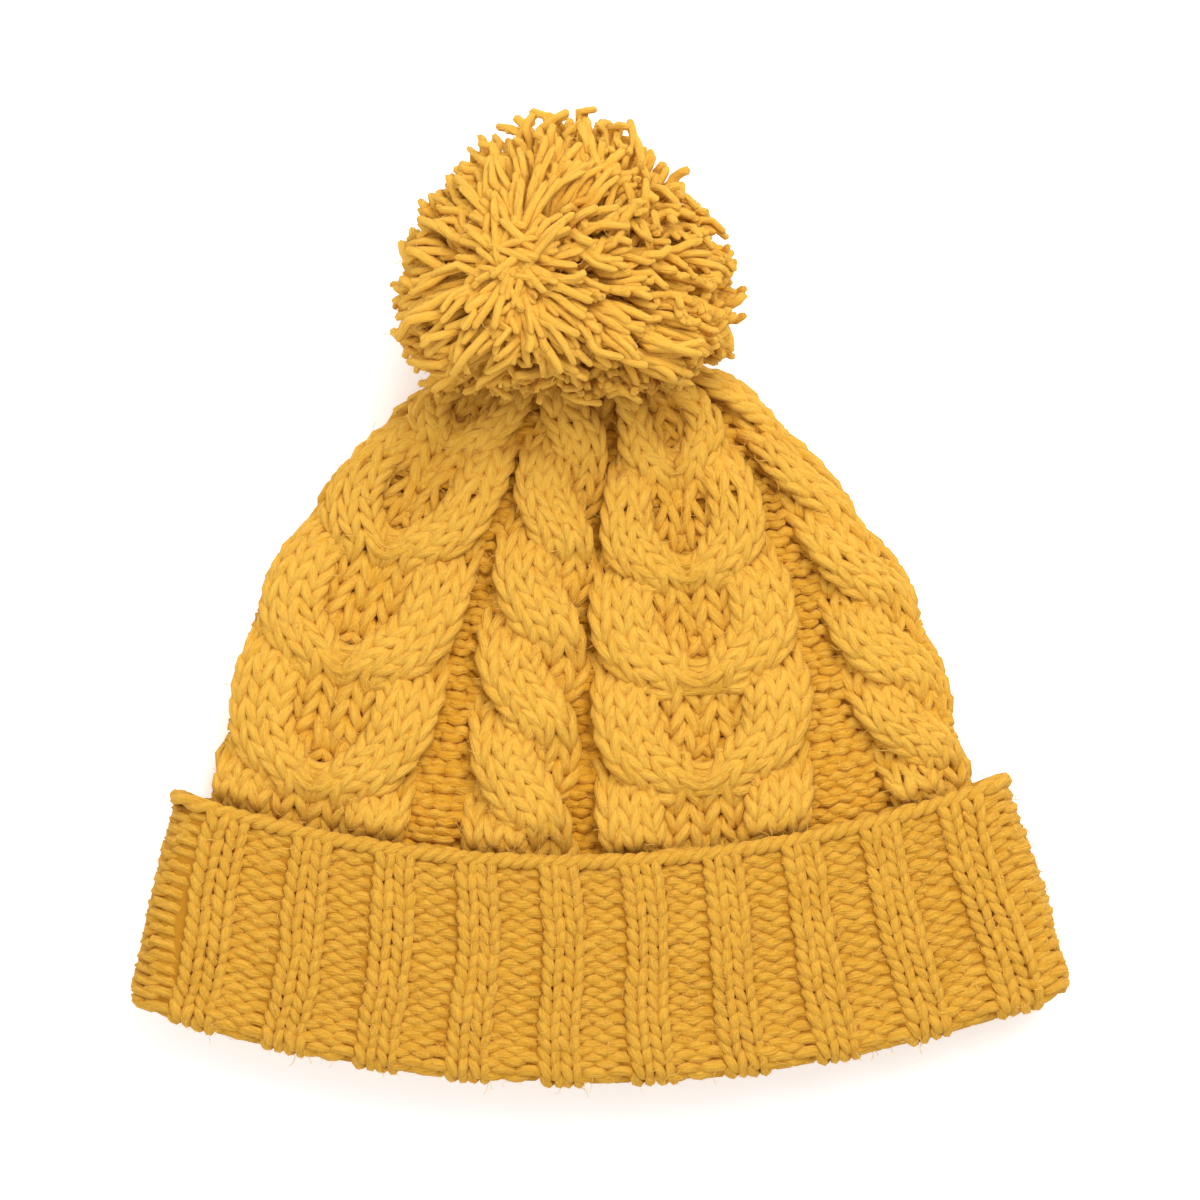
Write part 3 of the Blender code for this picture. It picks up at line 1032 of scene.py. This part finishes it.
@dataclass
class Cuff:
    """The ribbed band, turned up outside itself.

    The fields that start with `leg` tell of the knit stitches that stand up as ribs, and those that start
    with `bump` of the purl stitches between them. `nap` is how many loose fibres grow on a square metre.
    """

    surface: Surface
    knitter: Knitter
    sweep: YarnSweep
    finish: bpy.types.Material
    # The dark wool of the fabric behind the stitches, painted shade that shows through the gaps.
    backing_shade: bpy.types.Material
    depth: float = 0.0680
    thickness: float = 0.0048
    stand: float = 0.0036
    slot: float = 0.0005
    join_depth: float = 0.0135
    rib_rise: float = 0.0024
    ribs: int = 20
    rib_skew: float = 0.015
    rib_start: float = -0.940
    knit_share: float = 0.47
    rows: int = 30
    fold_fullness: float = 0.0018
    hem_travel: float = 0.50
    hem_reach: float = 0.05
    waver: float = 0.009
    leg_lift: float = 0.4
    bump_lift: float = -0.3
    leg_size: float = 0.95
    bump_size: float = 1.02
    bump_depth: float = 0.6
    fold_reach: float = 0.16
    cord_winds: int = 62
    cord_steps: int = 8
    cord_size: float = 0.88
    band_turns: int = 132
    band_levels: int = 26
    band_half: float = 0.0010
    nap: float = 46000

    def profile(self) -> tuple[Array, Array]:
        """Walks from the free edge down to the hem, round the fold and up the inner layer.

        Returns:
            Distances from the hem and heights over the body's surface, at even steps.
        """
        wall = self.surface.body.wall
        outer = self.slot + self.thickness * 0.55
        inner = -wall * 0.5
        bend = (outer - inner) / 2
        reach = bend + 0.0043
        free = np.array([[self.depth - 0.0022, self.stand + self.thickness * 0.55]])
        angle = np.linspace(math.pi / 2, 3 * math.pi / 2, 13)
        fold = np.stack([reach + bend * np.cos(angle), (outer + inner) / 2 + bend * np.sin(angle)], axis=1)
        end = np.array([[self.depth - self.join_depth, inner]])
        line = np.concatenate([free, fold, end])
        run = np.concatenate([[0], np.cumsum(np.linalg.norm(np.diff(line, axis=0), axis=1))])
        even = np.linspace(0, run[-1], 281)
        return np.interp(even, run, line[:, 0]), np.interp(even, run, line[:, 1])

    def place(self, front: Array, travel: Array, out: Array, radius: Array) -> Array:
        """Places points of the band.

        Args:
            front: places round the band, from -1 at the left fold through 1 at the right fold to 3.
            travel: shares of the way along the profile.
            out: how far out of the fabric.
            radius: the yarn's radius, which keeps it over the table.

        Returns:
            The points.
        """
        away, high = self.profile()
        shares = np.linspace(0, 1, len(away))
        inside = np.clip(travel, 0.004, 0.996)
        step = 0.004
        dx = np.interp(inside + step, shares, away) - np.interp(inside - step, shares, away)
        dh = np.interp(inside + step, shares, high) - np.interp(inside - step, shares, high)
        x = np.interp(inside, shares, away) + (travel - inside) * dx / (2 * step)
        h = np.interp(inside, shares, high) + (travel - inside) * dh / (2 * step)
        size = np.hypot(dx, dh)
        x = x + out * dh / size
        h = h - out * dx / size
        near = 1 - np.minimum(np.abs(np.mod(front, 2) - 1) / self.fold_reach, 1)
        h = h + self.fold_fullness * near * near * (3 - 2 * near) * (travel < 0.55)
        up = x / self.surface.body.length
        return self.surface.place((front + 1) / 4, up, h, TABLE_TOP + radius * 0.95)

    def skewed(self, even: Array) -> Array:
        """Moves evenly spaced ribs to where the photo shows them, wider apart on the left.

        Args:
            even: evenly spaced places, as `front` places round the whole band.

        Returns:
            The moved places.
        """
        turn = np.mod(even + 1, 4) - 1
        upper = turn + self.rib_skew * (1 - turn**2)
        lower = turn - self.rib_skew * (1 - (turn - 2) ** 2)
        return np.where(turn <= 1, upper, lower) + (even - turn)

    def row(self, knitter: Knitter, index: int, half: int) -> tuple[Array, Array, Array, Array]:
        """Lays one row over half the band.

        Args:
            knitter: lays its stitches.
            index: which row, counted from the free edge.
            half: 0 for the upper side, 1 for the underside.

        Returns:
            The yarn's points, radii, tones and depths.
        """
        ribs = self.ribs // 2
        pitch = 4 / self.ribs
        pieces = []
        for rib in range(ribs):
            start = self.rib_start + (rib + half * ribs) * pitch
            for offset, share, columns, knit in (
                (0, self.knit_share, 2, Knit.LEGS),
                (self.knit_share, 1 - self.knit_share, 2, Knit.BUMPS),
            ):
                x, y, out, rough, tone = knitter.run(columns, knit)
                even = start + (offset + share * x) * pitch
                legs = knit is Knit.LEGS
                travel = (index + (0.5 if legs else 0.3) - y) / self.rows
                even = even + self.waver * np.sin(11 * travel + 2.7 * even)
                at_hem = np.exp(-(((travel - self.hem_travel) / self.hem_reach) ** 2))
                lifted = self.rib_rise * (self.leg_lift if legs else self.bump_lift) * (1 - at_hem)
                # Painted shade: purl stitches, which lie between the ribs, take a darker colour.
                depth = out / self.knitter.stitch.depth - (0 if legs else self.bump_depth)
                thick = self.knitter.yarn.radius * (self.leg_size if legs else self.bump_size)
                pieces.append((self.skewed(even), travel, out + lifted, rough * thick, tone, depth))
        front, travel, out, radius, tone, depth = (np.concatenate(column) for column in zip(*pieces))
        return self.place(front, travel, out, radius), radius, tone, depth

    def edge_cord(self) -> Paths:
        """Lays the cast-on edge: two yarns that wind round each other along the free edge.

        Returns:
            The paths of the two yarns.
        """
        paths = Paths()
        steps = self.cord_winds * self.cord_steps
        turn = np.arange(steps + 1) / steps
        radius = self.knitter.yarn.radius * self.cord_size
        for start in (0, math.pi):
            wind = 2 * math.pi * self.cord_winds * turn + start
            travel = -0.008 + 0.0085 * np.cos(wind)
            out = 0.0012 + 0.0009 * np.sin(wind)
            points = self.place(4 * turn - 1, travel, out, np.full(len(turn), radius))
            tone = 0.3 * np.sin(7 * wind / self.cord_winds + start)
            # Painted shade: each yarn darkens where it winds under the other.
            paths.add(points, radius, tone, 0.4 + 0.6 * np.sin(wind))
        return paths

    def band_mesh(self) -> bpy.types.Object:
        """Builds the fabric's body between its outer loops and its inside.

        Returns:
            The body as a closed piece.
        """
        turns = np.arange(self.band_turns) / self.band_turns
        travels = np.linspace(0.01, 0.99, self.band_levels)
        flat = np.ones(len(turns))
        rings = []
        for out, course in ((self.band_half, travels), (-self.band_half, travels[::-1])):
            for travel in course:
                rings.append(self.place(4 * turns - 1, flat * travel, flat * out, flat * 0.0012))
        return closed_skin("cuff_inside", rings, self.backing_shade)

    def build(self) -> list[bpy.types.Object]:
        """Knits the band and its edge.

        Returns:
            The pieces, the upper side first.
        """
        pieces = []
        split = self.rows // 2 + 2
        plain = self.knitter.plainer()
        finer = self.knitter.finer()
        groups = (
            ("cuff_upper_knit", (0,), range(split), self.knitter),
            ("cuff_under_knit", (1,), range(split), plain),
            ("cuff_inner_knit", (0, 1), range(split, self.rows), plain),
        )
        for name, halves, indices, knitter in groups:
            paths = Paths()
            for half in halves:
                for index in indices:
                    at_fold = knitter is self.knitter and index >= split - 4
                    paths.add(*self.row(finer if at_fold else knitter, index, half))
            pieces.append(self.sweep.make(name, paths, knitter.yarn.sides, self.finish))
        pieces.append(self.sweep.make("cuff_edge", self.edge_cord(), 6, self.finish))
        pieces.append(self.band_mesh())
        return pieces


@dataclass
class Pompom:
    """The ball of cut yarn on the tip.

    The strands lie in clumps. `pull` draws a clump together, `veer` turns all of it aside, and the fields
    that end in `share` say how much of its bend a strand shares with its clump or has of its own.
    `shorter`, `ragged` and `longer_below` make the strands differ in length.
    """

    sweep: YarnSweep
    finish: bpy.types.Material
    middle: tuple[float, float, float] = (-0.0105, 0.0900, 0.0380)
    half_width: float = 0.049
    above: float = 0.0515
    below: float = 0.030
    half_height: float = 0.038
    fullness: float = 2.7
    parting: tuple[tuple[float, float, float], ...] = ((-0.33, 0.10, 0.94), (-0.30, 0.20, 0.93))
    comb: float = 0.46
    strands: int = 2150
    clumps: int = 240
    radius: float = 0.00141
    points: int = 8
    seed: int = 5
    scatter: float = 0.05
    veer: float = 0.15
    flow: tuple[float, float] = (3.1, 4.3)
    flow_phases: tuple[float, float, float] = (0.4, 2.1, 4.0)
    blunt_from: float = 0.97
    shared_share: float = 0.66
    own_share: float = 0.48
    pull: float = 0.20
    bend: float = 0.12
    swirl: float = 0.07
    wave: float = 0.045
    shorter: float = 0.16
    ragged: float = 0.025
    longer_below: float = 0.13
    root: float = 0.56
    uneven: float = 0.09
    root_depth: float = -0.8
    depth_rise: float = 2.3
    core_size: float = 0.70
    core_turns: int = 32
    core_levels: int = 15
    nap: float = 22000

    def rounded(self, direction: Array) -> Array:
        """Gives the points of the rounded outline.

        Args:
            direction: the directions.

        Returns:
            The points, counted from the ball's middle.
        """
        low = np.clip(-direction[:, 1] * 2, 0, 1)
        high = np.clip(direction[:, 1] * 2, 0, 1)
        left = np.clip(-direction[:, 0] * 2, 0, 1)
        power = (2 + (self.fullness - 2) * low + 1.3 * low * left - 0.22 * high)[:, None]
        out = direction / (np.abs(direction) ** power).sum(axis=1, keepdims=True) ** (1 / power)
        length = np.where(out[:, 1] > 0, self.above, self.below)
        width = self.half_width * (1 - 0.06 * low)
        points = out * np.stack([width, length, np.full(len(out), self.half_height)], axis=1)
        points[:, 0] += low * (0.0025 - 0.0018 * left)
        return points

    def combed(self, direction: Array) -> Array:
        """Gives the way that each strand is combed: away from the nearest place of the parting.

        Args:
            direction: the strands' directions.

        Returns:
            The ways; how long each is says how strongly the strand is combed.
        """
        first, last = (np.array(end) / np.linalg.norm(end) for end in self.parting)
        share = np.clip((direction - first) @ (last - first) / ((last - first) @ (last - first)), 0, 1)
        near = first + (last - first) * share[:, None]
        near /= np.linalg.norm(near, axis=1, keepdims=True)
        away = direction - near * (direction * near).sum(axis=1, keepdims=True)
        far = np.linalg.norm(away, axis=1, keepdims=True)
        return away / np.maximum(far, 0.16) * (1.35 - 0.75 * far)

    def directions(self, picks: np.random.Generator) -> Array:
        """Spreads the strands over the ball, closer together above than below.

        Args:
            picks: the fixed run of random numbers.

        Returns:
            One direction for each strand.
        """
        share = (np.arange(self.strands) + 0.5) / self.strands
        level = 1 - 2 * (0.7 * share + 0.3 * share**2)
        spin = np.arange(self.strands) * math.pi * (3 - math.sqrt(5))
        flat = np.sqrt(1 - level**2)
        direction = np.stack([flat * np.cos(spin), flat * np.sin(spin), level], axis=1)
        direction += picks.normal(0, self.scatter, direction.shape)
        return direction / np.linalg.norm(direction, axis=1, keepdims=True)

    def build(self) -> list[bpy.types.Object]:
        """Lays the strands, combed away from the parting, over a small core.

        Returns:
            The strands and the core.
        """
        picks = np.random.default_rng(self.seed)
        direction = self.directions(picks)
        clumps = picks.choice(self.strands, self.clumps, replace=False)
        clump = np.argmax(direction @ direction[clumps].T, axis=1)
        inwards = direction[clumps[clump]] - direction
        away = self.combed(direction)
        veer = picks.normal(0, self.veer, self.clumps)[clump][:, None]
        away = away * np.cos(veer) + np.cross(direction, away) * np.sin(veer)
        flow = self.flow[0] * direction[:, 1] + self.flow[1] * direction[:, 2]
        swirl = np.stack([np.sin(flow + phase) for phase in self.flow_phases], axis=1)
        share = np.concatenate([np.linspace(0, self.blunt_from, self.points - 1), [1.0]])
        taper = np.interp(share, (0, 0.6, self.blunt_from, 1.0), (1.0, 1.0, 0.84, 0.45))
        own = picks.normal(0, 1, (self.strands, 3, 3))
        shared = picks.normal(0, 1, (self.clumps, 3, 3))[clump]
        low = np.clip(-2 * direction[:, 1], 0, 1) * (direction[:, 2] > -0.2)
        paths = Paths()
        for i in range(self.strands):
            bend, wave, phase = self.shared_share * shared[i] + self.own_share * own[i]
            comb = self.comb * (0.5 + 0.9 * picks.random())
            lean = direction[i] - away[i] * comb * (1 - share[:, None] ** 2)
            lean += inwards[i] * self.pull * share[:, None] ** 2
            lean += (bend * self.bend + swirl[i] * self.swirl) * share[:, None] ** 1.6
            lean += wave * self.wave * np.sin(share * 7 + phase[0] * 2)[:, None]
            lean /= np.linalg.norm(lean, axis=1, keepdims=True)
            size = 1.0 - self.shorter * picks.random() ** 1.3 + self.ragged * own[i][0][0]
            size += self.longer_below * low[i] * picks.random() ** 2
            run = self.root + (1 - self.root) * (1 - (1 - share) ** 1.6)
            points = self.rounded(lean) * (run * size)[:, None] + self.middle
            points[:, 2] = np.maximum(points[:, 2], self.radius)
            radius = self.radius * (1 + self.uneven * own[i][0][1]) * taper
            # Painted shade: strands darken towards their roots inside the ball, and short strands more than
            # long ones.
            depth = self.root_depth + self.depth_rise * share * size
            paths.add(points, radius, float(own[i][0][2]), depth)
        return [self.sweep.make("pompom_yarn", paths, 5, self.finish), self.core()]

    def core(self) -> bpy.types.Object:
        """Builds the dense middle that the strands spring from.

        Returns:
            The core as a closed piece.
        """
        turns = np.arange(self.core_turns) / self.core_turns * 2 * math.pi
        rings = []
        for tilt in np.linspace(-1.4, 1.4, self.core_levels):
            level = np.full(self.core_turns, math.sin(tilt))
            ring = np.stack([np.cos(turns) * math.cos(tilt), np.sin(turns) * math.cos(tilt), level], axis=1)
            rings.append(self.rounded(ring) * self.core_size + self.middle)
        rise = np.array([0, 0, self.half_height * self.core_size])
        return closed_skin("pompom_core", rings, self.finish, self.middle - rise, self.middle + rise)


def closed_skin(
    name: str,
    rings: list[Array],
    finish: bpy.types.Material,
    first_tip: Array | None = None,
    last_tip: Array | None = None,
) -> bpy.types.Object:
    """Builds a closed mesh through rings of points.

    Args:
        name: the piece's name.
        rings: the rings in order, all with as many points.
        finish: its material.
        first_tip: closes the first ring, where there is one.
        last_tip: closes the last ring; without tips the last ring joins the first.

    Returns:
        The piece.
    """
    count = len(rings[0])
    points = [tuple(point) for ring in rings for point in ring]
    faces = []
    spans = len(rings) - 1 if first_tip is not None else len(rings)
    for level in range(spans):
        low = level * count
        high = (level + 1) % len(rings) * count
        for i in range(count):
            j = (i + 1) % count
            faces.append((low + i, low + j, high + j, high + i))
    for tip, base, flip in ((first_tip, 0, True), (last_tip, (len(rings) - 1) * count, False)):
        if tip is not None:
            points.append(tuple(tip))
            for i in range(count):
                pair = (base + i, base + (i + 1) % count)
                faces.append((*(pair[::-1] if flip else pair), len(points) - 1))
    mesh = bpy.data.meshes.new(name)
    mesh.from_pydata(points, [], faces)
    mesh.materials.append(finish)
    mesh.shade_smooth()
    outward(mesh)
    return linked(name, mesh)


def outward(mesh: bpy.types.Mesh) -> None:
    """Turns a closed mesh's faces outwards if its volume says that they point in.

    Args:
        mesh: the mesh.
    """
    mesh.calc_loop_triangles()
    corners = np.empty(len(mesh.loop_triangles) * 3, int)
    mesh.loop_triangles.foreach_get("vertices", corners)
    places = np.empty(len(mesh.vertices) * 3)
    mesh.vertices.foreach_get("co", places)
    tri = places.reshape(-1, 3)[corners.reshape(-1, 3)]
    if np.einsum("ij,ij->i", tri[:, 0], np.cross(tri[:, 1], tri[:, 2])).sum() < 0:
        mesh.flip_normals()


class Shade:
    """A shader socket that takes part in sums."""

    def __init__(self, tree: bpy.types.NodeTree, socket: bpy.types.NodeSocket) -> None:
        """Wraps a socket."""
        self.tree = tree
        self.socket = socket

    def maths(self, operation: str, *others: Shade | float) -> Shade:
        """Joins this value and others through one Math node.

        Args:
            operation: what the node does.
            others: the values that it takes besides this one.

        Returns:
            The node's result.
        """
        node = add_node(self.tree, "ShaderNodeMath", {"operation": operation})
        for place, value in enumerate((self, *others)):
            if isinstance(value, Shade):
                self.tree.links.new(value.socket, node.inputs[place])
            else:
                node.inputs[place].default_value = value
        return Shade(self.tree, node.outputs[0])

    def __add__(self, other: Shade | float) -> Shade:
        """Adds."""
        return self.maths("ADD", other)

    def __radd__(self, other: float) -> Shade:
        """Adds, with the number first."""
        return self.maths("ADD", other)

    def __sub__(self, other: Shade | float) -> Shade:
        """Subtracts."""
        return self.maths("SUBTRACT", other)

    def __rsub__(self, other: float) -> Shade:
        """Subtracts from a number."""
        return self * -1.0 + other

    def __mul__(self, other: Shade | float) -> Shade:
        """Multiplies."""
        return self.maths("MULTIPLY", other)

    def __rmul__(self, other: float) -> Shade:
        """Multiplies, with the number first."""
        return self.maths("MULTIPLY", other)

    def between(self, low: float, high: float) -> Shade:
        """Rises smoothly from 0 at `low` to 1 at `high`.

        Args:
            low: where the rise starts.
            high: where it ends.

        Returns:
            The risen value.
        """
        settings = {"interpolation_type": "SMOOTHSTEP"}
        node = add_node(self.tree, "ShaderNodeMapRange", settings, Value=self, From_Min=low, From_Max=high)
        return Shade(self.tree, node.outputs["Result"])


def matt_material(name: str, **inputs: object) -> bpy.types.Material:
    """Makes a material of one Principled shader.

    Args:
        name: the material's name.
        inputs: what the shader's inputs are set to, by name with `_` for a space.

    Returns:
        The material.
    """
    material = bpy.data.materials.new(name)
    material.use_nodes = True
    shader = material.node_tree.nodes["Principled BSDF"]
    for label, value in inputs.items():
        shader.inputs[label.replace("_", " ")].default_value = value
    return material


@dataclass(frozen=True)
class Wool:
    """Matt wool: a lit colour, a darker colour of painted shade for the crevices, and fibres that run along
    the yarn.

    The fields that end in `light` say how much each thing moves the colour from the painted crevice shade to
    lit. The yarn's depth and the streaks between its fibres are painted shade; specks, patches and tone are
    the wool's own uneven colour.
    """

    name: str
    lit: tuple[float, float, float]
    crevice_shade: tuple[float, float, float]
    fibre_depth: float = 0.8
    bump_distance: float = 0.0012
    streaks_along: float = 300.0
    streaks_round: float = 2.6
    tone_shift: float = 7.0
    patch_scale: float = 60.0
    speck_scale: float = 2300.0
    depths: tuple[float, float] = (-1.7, 1.4)
    depth_light: float = 0.80
    streak_light: float = 0.55
    speck_light: float = 0.30
    patch_light: float = 0.30
    tone_light: float = 0.05
    least_light: float = 0.10

    def attribute(self, tree: bpy.types.NodeTree, name: str, output: str = "Fac") -> Shade:
        """Reads a value that the mesh carries.

        Args:
            tree: the material's nodes.
            name: the value's name.
            output: which output of the node is read.

        Returns:
            The value.
        """
        node = add_node(tree, "ShaderNodeAttribute", {"attribute_name": name})
        return Shade(tree, node.outputs[output])

    def noise(self, place: bpy.types.NodeSocket, scale: float, detail: float, roughness: float) -> Shade:
        """Adds a noise texture.

        Args:
            place: where it is read.
            scale: how fine it is.
            detail: how many finer layers it has.
            roughness: how strong those are.

        Returns:
            The noise, about 0.5.
        """
        tree = place.id_data
        values = {"Vector": place, "Scale": scale, "Detail": detail, "Roughness": roughness}
        node = add_node(tree, "ShaderNodeTexNoise", **values)
        return Shade(tree, node.outputs["Fac"])

    def build(self) -> bpy.types.Material:
        """Builds the material.

        Returns:
            The material.
        """
        material = matt_material(
            self.name,
            Roughness=0.9,
            Sheen_Weight=0.22,
            Sheen_Roughness=0.5,
            Sheen_Tint=(1.0, 0.66, 0.22, 1.0),
            Specular_IOR_Level=0.08,
        )
        tree = material.node_tree
        shader = tree.nodes["Principled BSDF"]
        tone, depth, along = (self.attribute(tree, name) for name in ("tone", "depth", "along"))
        around = add_node(tree, "ShaderNodeSeparateXYZ", Vector=self.attribute(tree, "around", "Vector"))
        over, across = (Shade(tree, around.outputs[axis]) * self.streaks_round for axis in "XY")
        over = over + tone * self.tone_shift
        place = add_node(tree, "ShaderNodeCombineXYZ", X=over, Y=across, Z=along * self.streaks_along)
        fibres = self.noise(place.outputs["Vector"], 1.0, 3.0, 0.6)
        coords = add_node(tree, "ShaderNodeTexCoord").outputs["Object"]
        patch = self.noise(coords, self.patch_scale, 2.0, 0.5) - 0.5
        speck = self.noise(coords, self.speck_scale, 2.0, 0.6).between(0.36, 0.64) - 0.5
        # Painted shade: deep yarn and the gaps between fibres darken; patches, specks and tone are the wool's
        # own colour.
        streak = fibres.between(0.38, 0.60) - 0.5
        light = depth.between(*self.depths) * self.depth_light
        light = light + streak * self.streak_light + speck * self.speck_light + patch * self.patch_light
        light = light + tone * self.tone_light + self.least_light
        settings = {"data_type": "RGBA", "clamp_factor": True}
        ends = {"A": (*self.crevice_shade, 1.0), "B": (*self.lit, 1.0)}
        mix = add_node(tree, "ShaderNodeMix", settings, Factor=light, **ends)
        colour = next(socket for socket in mix.outputs if socket.type == "RGBA")
        tree.links.new(colour, shader.inputs["Base Color"])
        values = {"Strength": self.fibre_depth, "Distance": self.bump_distance, "Height": fibres}
        bump = add_node(tree, "ShaderNodeBump", **values)
        tree.links.new(bump.outputs["Normal"], shader.inputs["Normal"])
        return material


WOOLS = (
    # Copies of one yarn: the darker rib wool is painted shade on the cuff, the lighter cut wool painted light
    # on the pompom.
    Wool("mustard_cable_wool", lit=(0.765, 0.429, 0.062), crevice_shade=(0.64, 0.288, 0.016)),
    Wool("mustard_rib_wool", lit=(0.71, 0.378, 0.047), crevice_shade=(0.55, 0.246, 0.014)),
    Wool("mustard_cut_wool", lit=(0.83, 0.462, 0.068), crevice_shade=(0.78, 0.370, 0.022)),
    # A dark copy of the yarn for the fabric behind the stitches: painted shade that shows through the gaps.
    Wool("mustard_backing_shade", lit=(0.50, 0.228, 0.018), crevice_shade=(0.40, 0.170, 0.012)),
)


@dataclass(frozen=True)
class Fibre:
    """Loose fibres: paler than the yarn and partly see-through."""

    name: str
    colour: tuple[float, float, float] = (0.90, 0.54, 0.11)
    cover: float = 0.75

    def build(self) -> bpy.types.Material:
        """Builds the material."""
        return matt_material(self.name, Base_Color=(*self.colour, 1.0), Roughness=0.8, Alpha=self.cover)


@dataclass(frozen=True)
class Lamp:
    """A square soft lamp that faces the hat."""

    name: str
    place: tuple[float, float, float]
    size: float
    power: float

    def hang(self) -> None:
        """Hangs the lamp and turns it to the hat."""
        light = bpy.data.lights.new(self.name, "AREA")
        light.size = self.size
        light.energy = self.power
        lamp = linked(self.name, light)
        x, y, z = self.place
        lamp.location = self.place
        lamp.rotation_euler = (math.atan2(math.hypot(x, y), z), 0, math.atan2(-x, y) + math.pi)


@dataclass(frozen=True)
class Studio:
    """Pale floor, soft light from above and the camera of the photo."""

    camera_place: tuple[float, float, float] = (-0.0003, 0.0003, 3.5)
    lens: float = 361.0
    sensor: float = 36.0
    farthest: float = 50.0
    floor_half: float = 4.0
    floor_colour: tuple[float, float, float] = (0.97, 0.97, 0.97)
    floor_glow: float = 0.26
    surroundings: float = 0.75
    lamps: tuple[Lamp, ...] = (
        Lamp("key_lamp", (0.45, 0.95, 1.4), 1.3, 26),
        Lamp("fill_lamp", (-1.2, -0.6, 1.6), 1.6, 9),
    )

    def floor(self) -> bpy.types.Object:
        """Lays the floor.

        Returns:
            The floor.
        """
        half = self.floor_half
        mesh = bpy.data.meshes.new("floor")
        corners = [(-half, -half, 0), (half, -half, 0), (half, half, 0), (-half, half, 0)]
        mesh.from_pydata(corners, [], [(0, 1, 2, 3)])
        material = matt_material(
            "pale_floor",
            Base_Color=(*self.floor_colour, 1.0),
            Roughness=0.9,
            Emission_Color=(1.0, 1.0, 1.0, 1.0),
            Emission_Strength=self.floor_glow,
        )
        mesh.materials.append(material)
        return linked("floor", mesh)

    def build(self) -> bpy.types.Object:
        """Sets floor, lamps, surroundings and camera.

        Returns:
            The floor.
        """
        floor = self.floor()
        for lamp in self.lamps:
            lamp.hang()
        world = bpy.data.worlds.new("studio")
        world.use_nodes = True
        back = world.node_tree.nodes["Background"]
        back.inputs["Color"].default_value = (1.0, 1.0, 1.0, 1.0)
        back.inputs["Strength"].default_value = self.surroundings
        bpy.context.scene.world = world
        bpy.context.scene.view_settings.view_transform = "Standard"
        data = bpy.data.cameras.new("camera")
        data.lens = self.lens
        data.sensor_width = self.sensor
        data.clip_end = self.farthest
        camera = linked("camera", data)
        camera.location = self.camera_place
        bpy.context.scene.camera = camera
        return floor


def dress(pieces: list[bpy.types.Object], node: str, slot: str) -> None:
    """Lets finished pieces stand for one solid of the part.

    Args:
        pieces: the pieces.
        node: the solid that they replace.
        slot: the record's material slot; not used.
    """
    for piece in pieces:
        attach(piece, "root")
        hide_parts(node)
        LOG.info("%s stands for %s with %d faces", piece.name, node, len(piece.data.polygons))


def main() -> None:
    """Builds the hat's pieces in order and sets the studio."""
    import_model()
    surface = Surface(Body())
    sweep = YarnSweep()
    fuzz = Fuzz()
    # `inner` is the dark wool of painted shade behind the stitches.
    cable, rib, cut, inner = (wool.build() for wool in WOOLS)
    loose = Fibre("mustard_fibres").build()
    knitter = Knitter(surface, Yarn(), Stitch(), SEED)
    ribber = Knitter(surface, Yarn(), Stitch(sway=0.20, skew=0.06, reach=0.95), SEED + 1)
    for node, slot, maker in (
        ("crown", "mustard_cable", Crown(surface, knitter, sweep, cable, inner)),
        ("cuff", "mustard_rib", Cuff(surface, ribber, sweep, rib, inner)),
        ("pompom", "mustard_yarn", Pompom(sweep, cut)),
    ):
        pieces = maker.build()
        pieces.append(fuzz.grow(pieces[0], f"{node}_fuzz", maker.nap, FIBRE_LENGTH, loose))
        dress(pieces, node, slot)
    Studio().build()


if __name__ == "__main__":
    logging.basicConfig(level=logging.INFO, format="%(message)s")
    main()
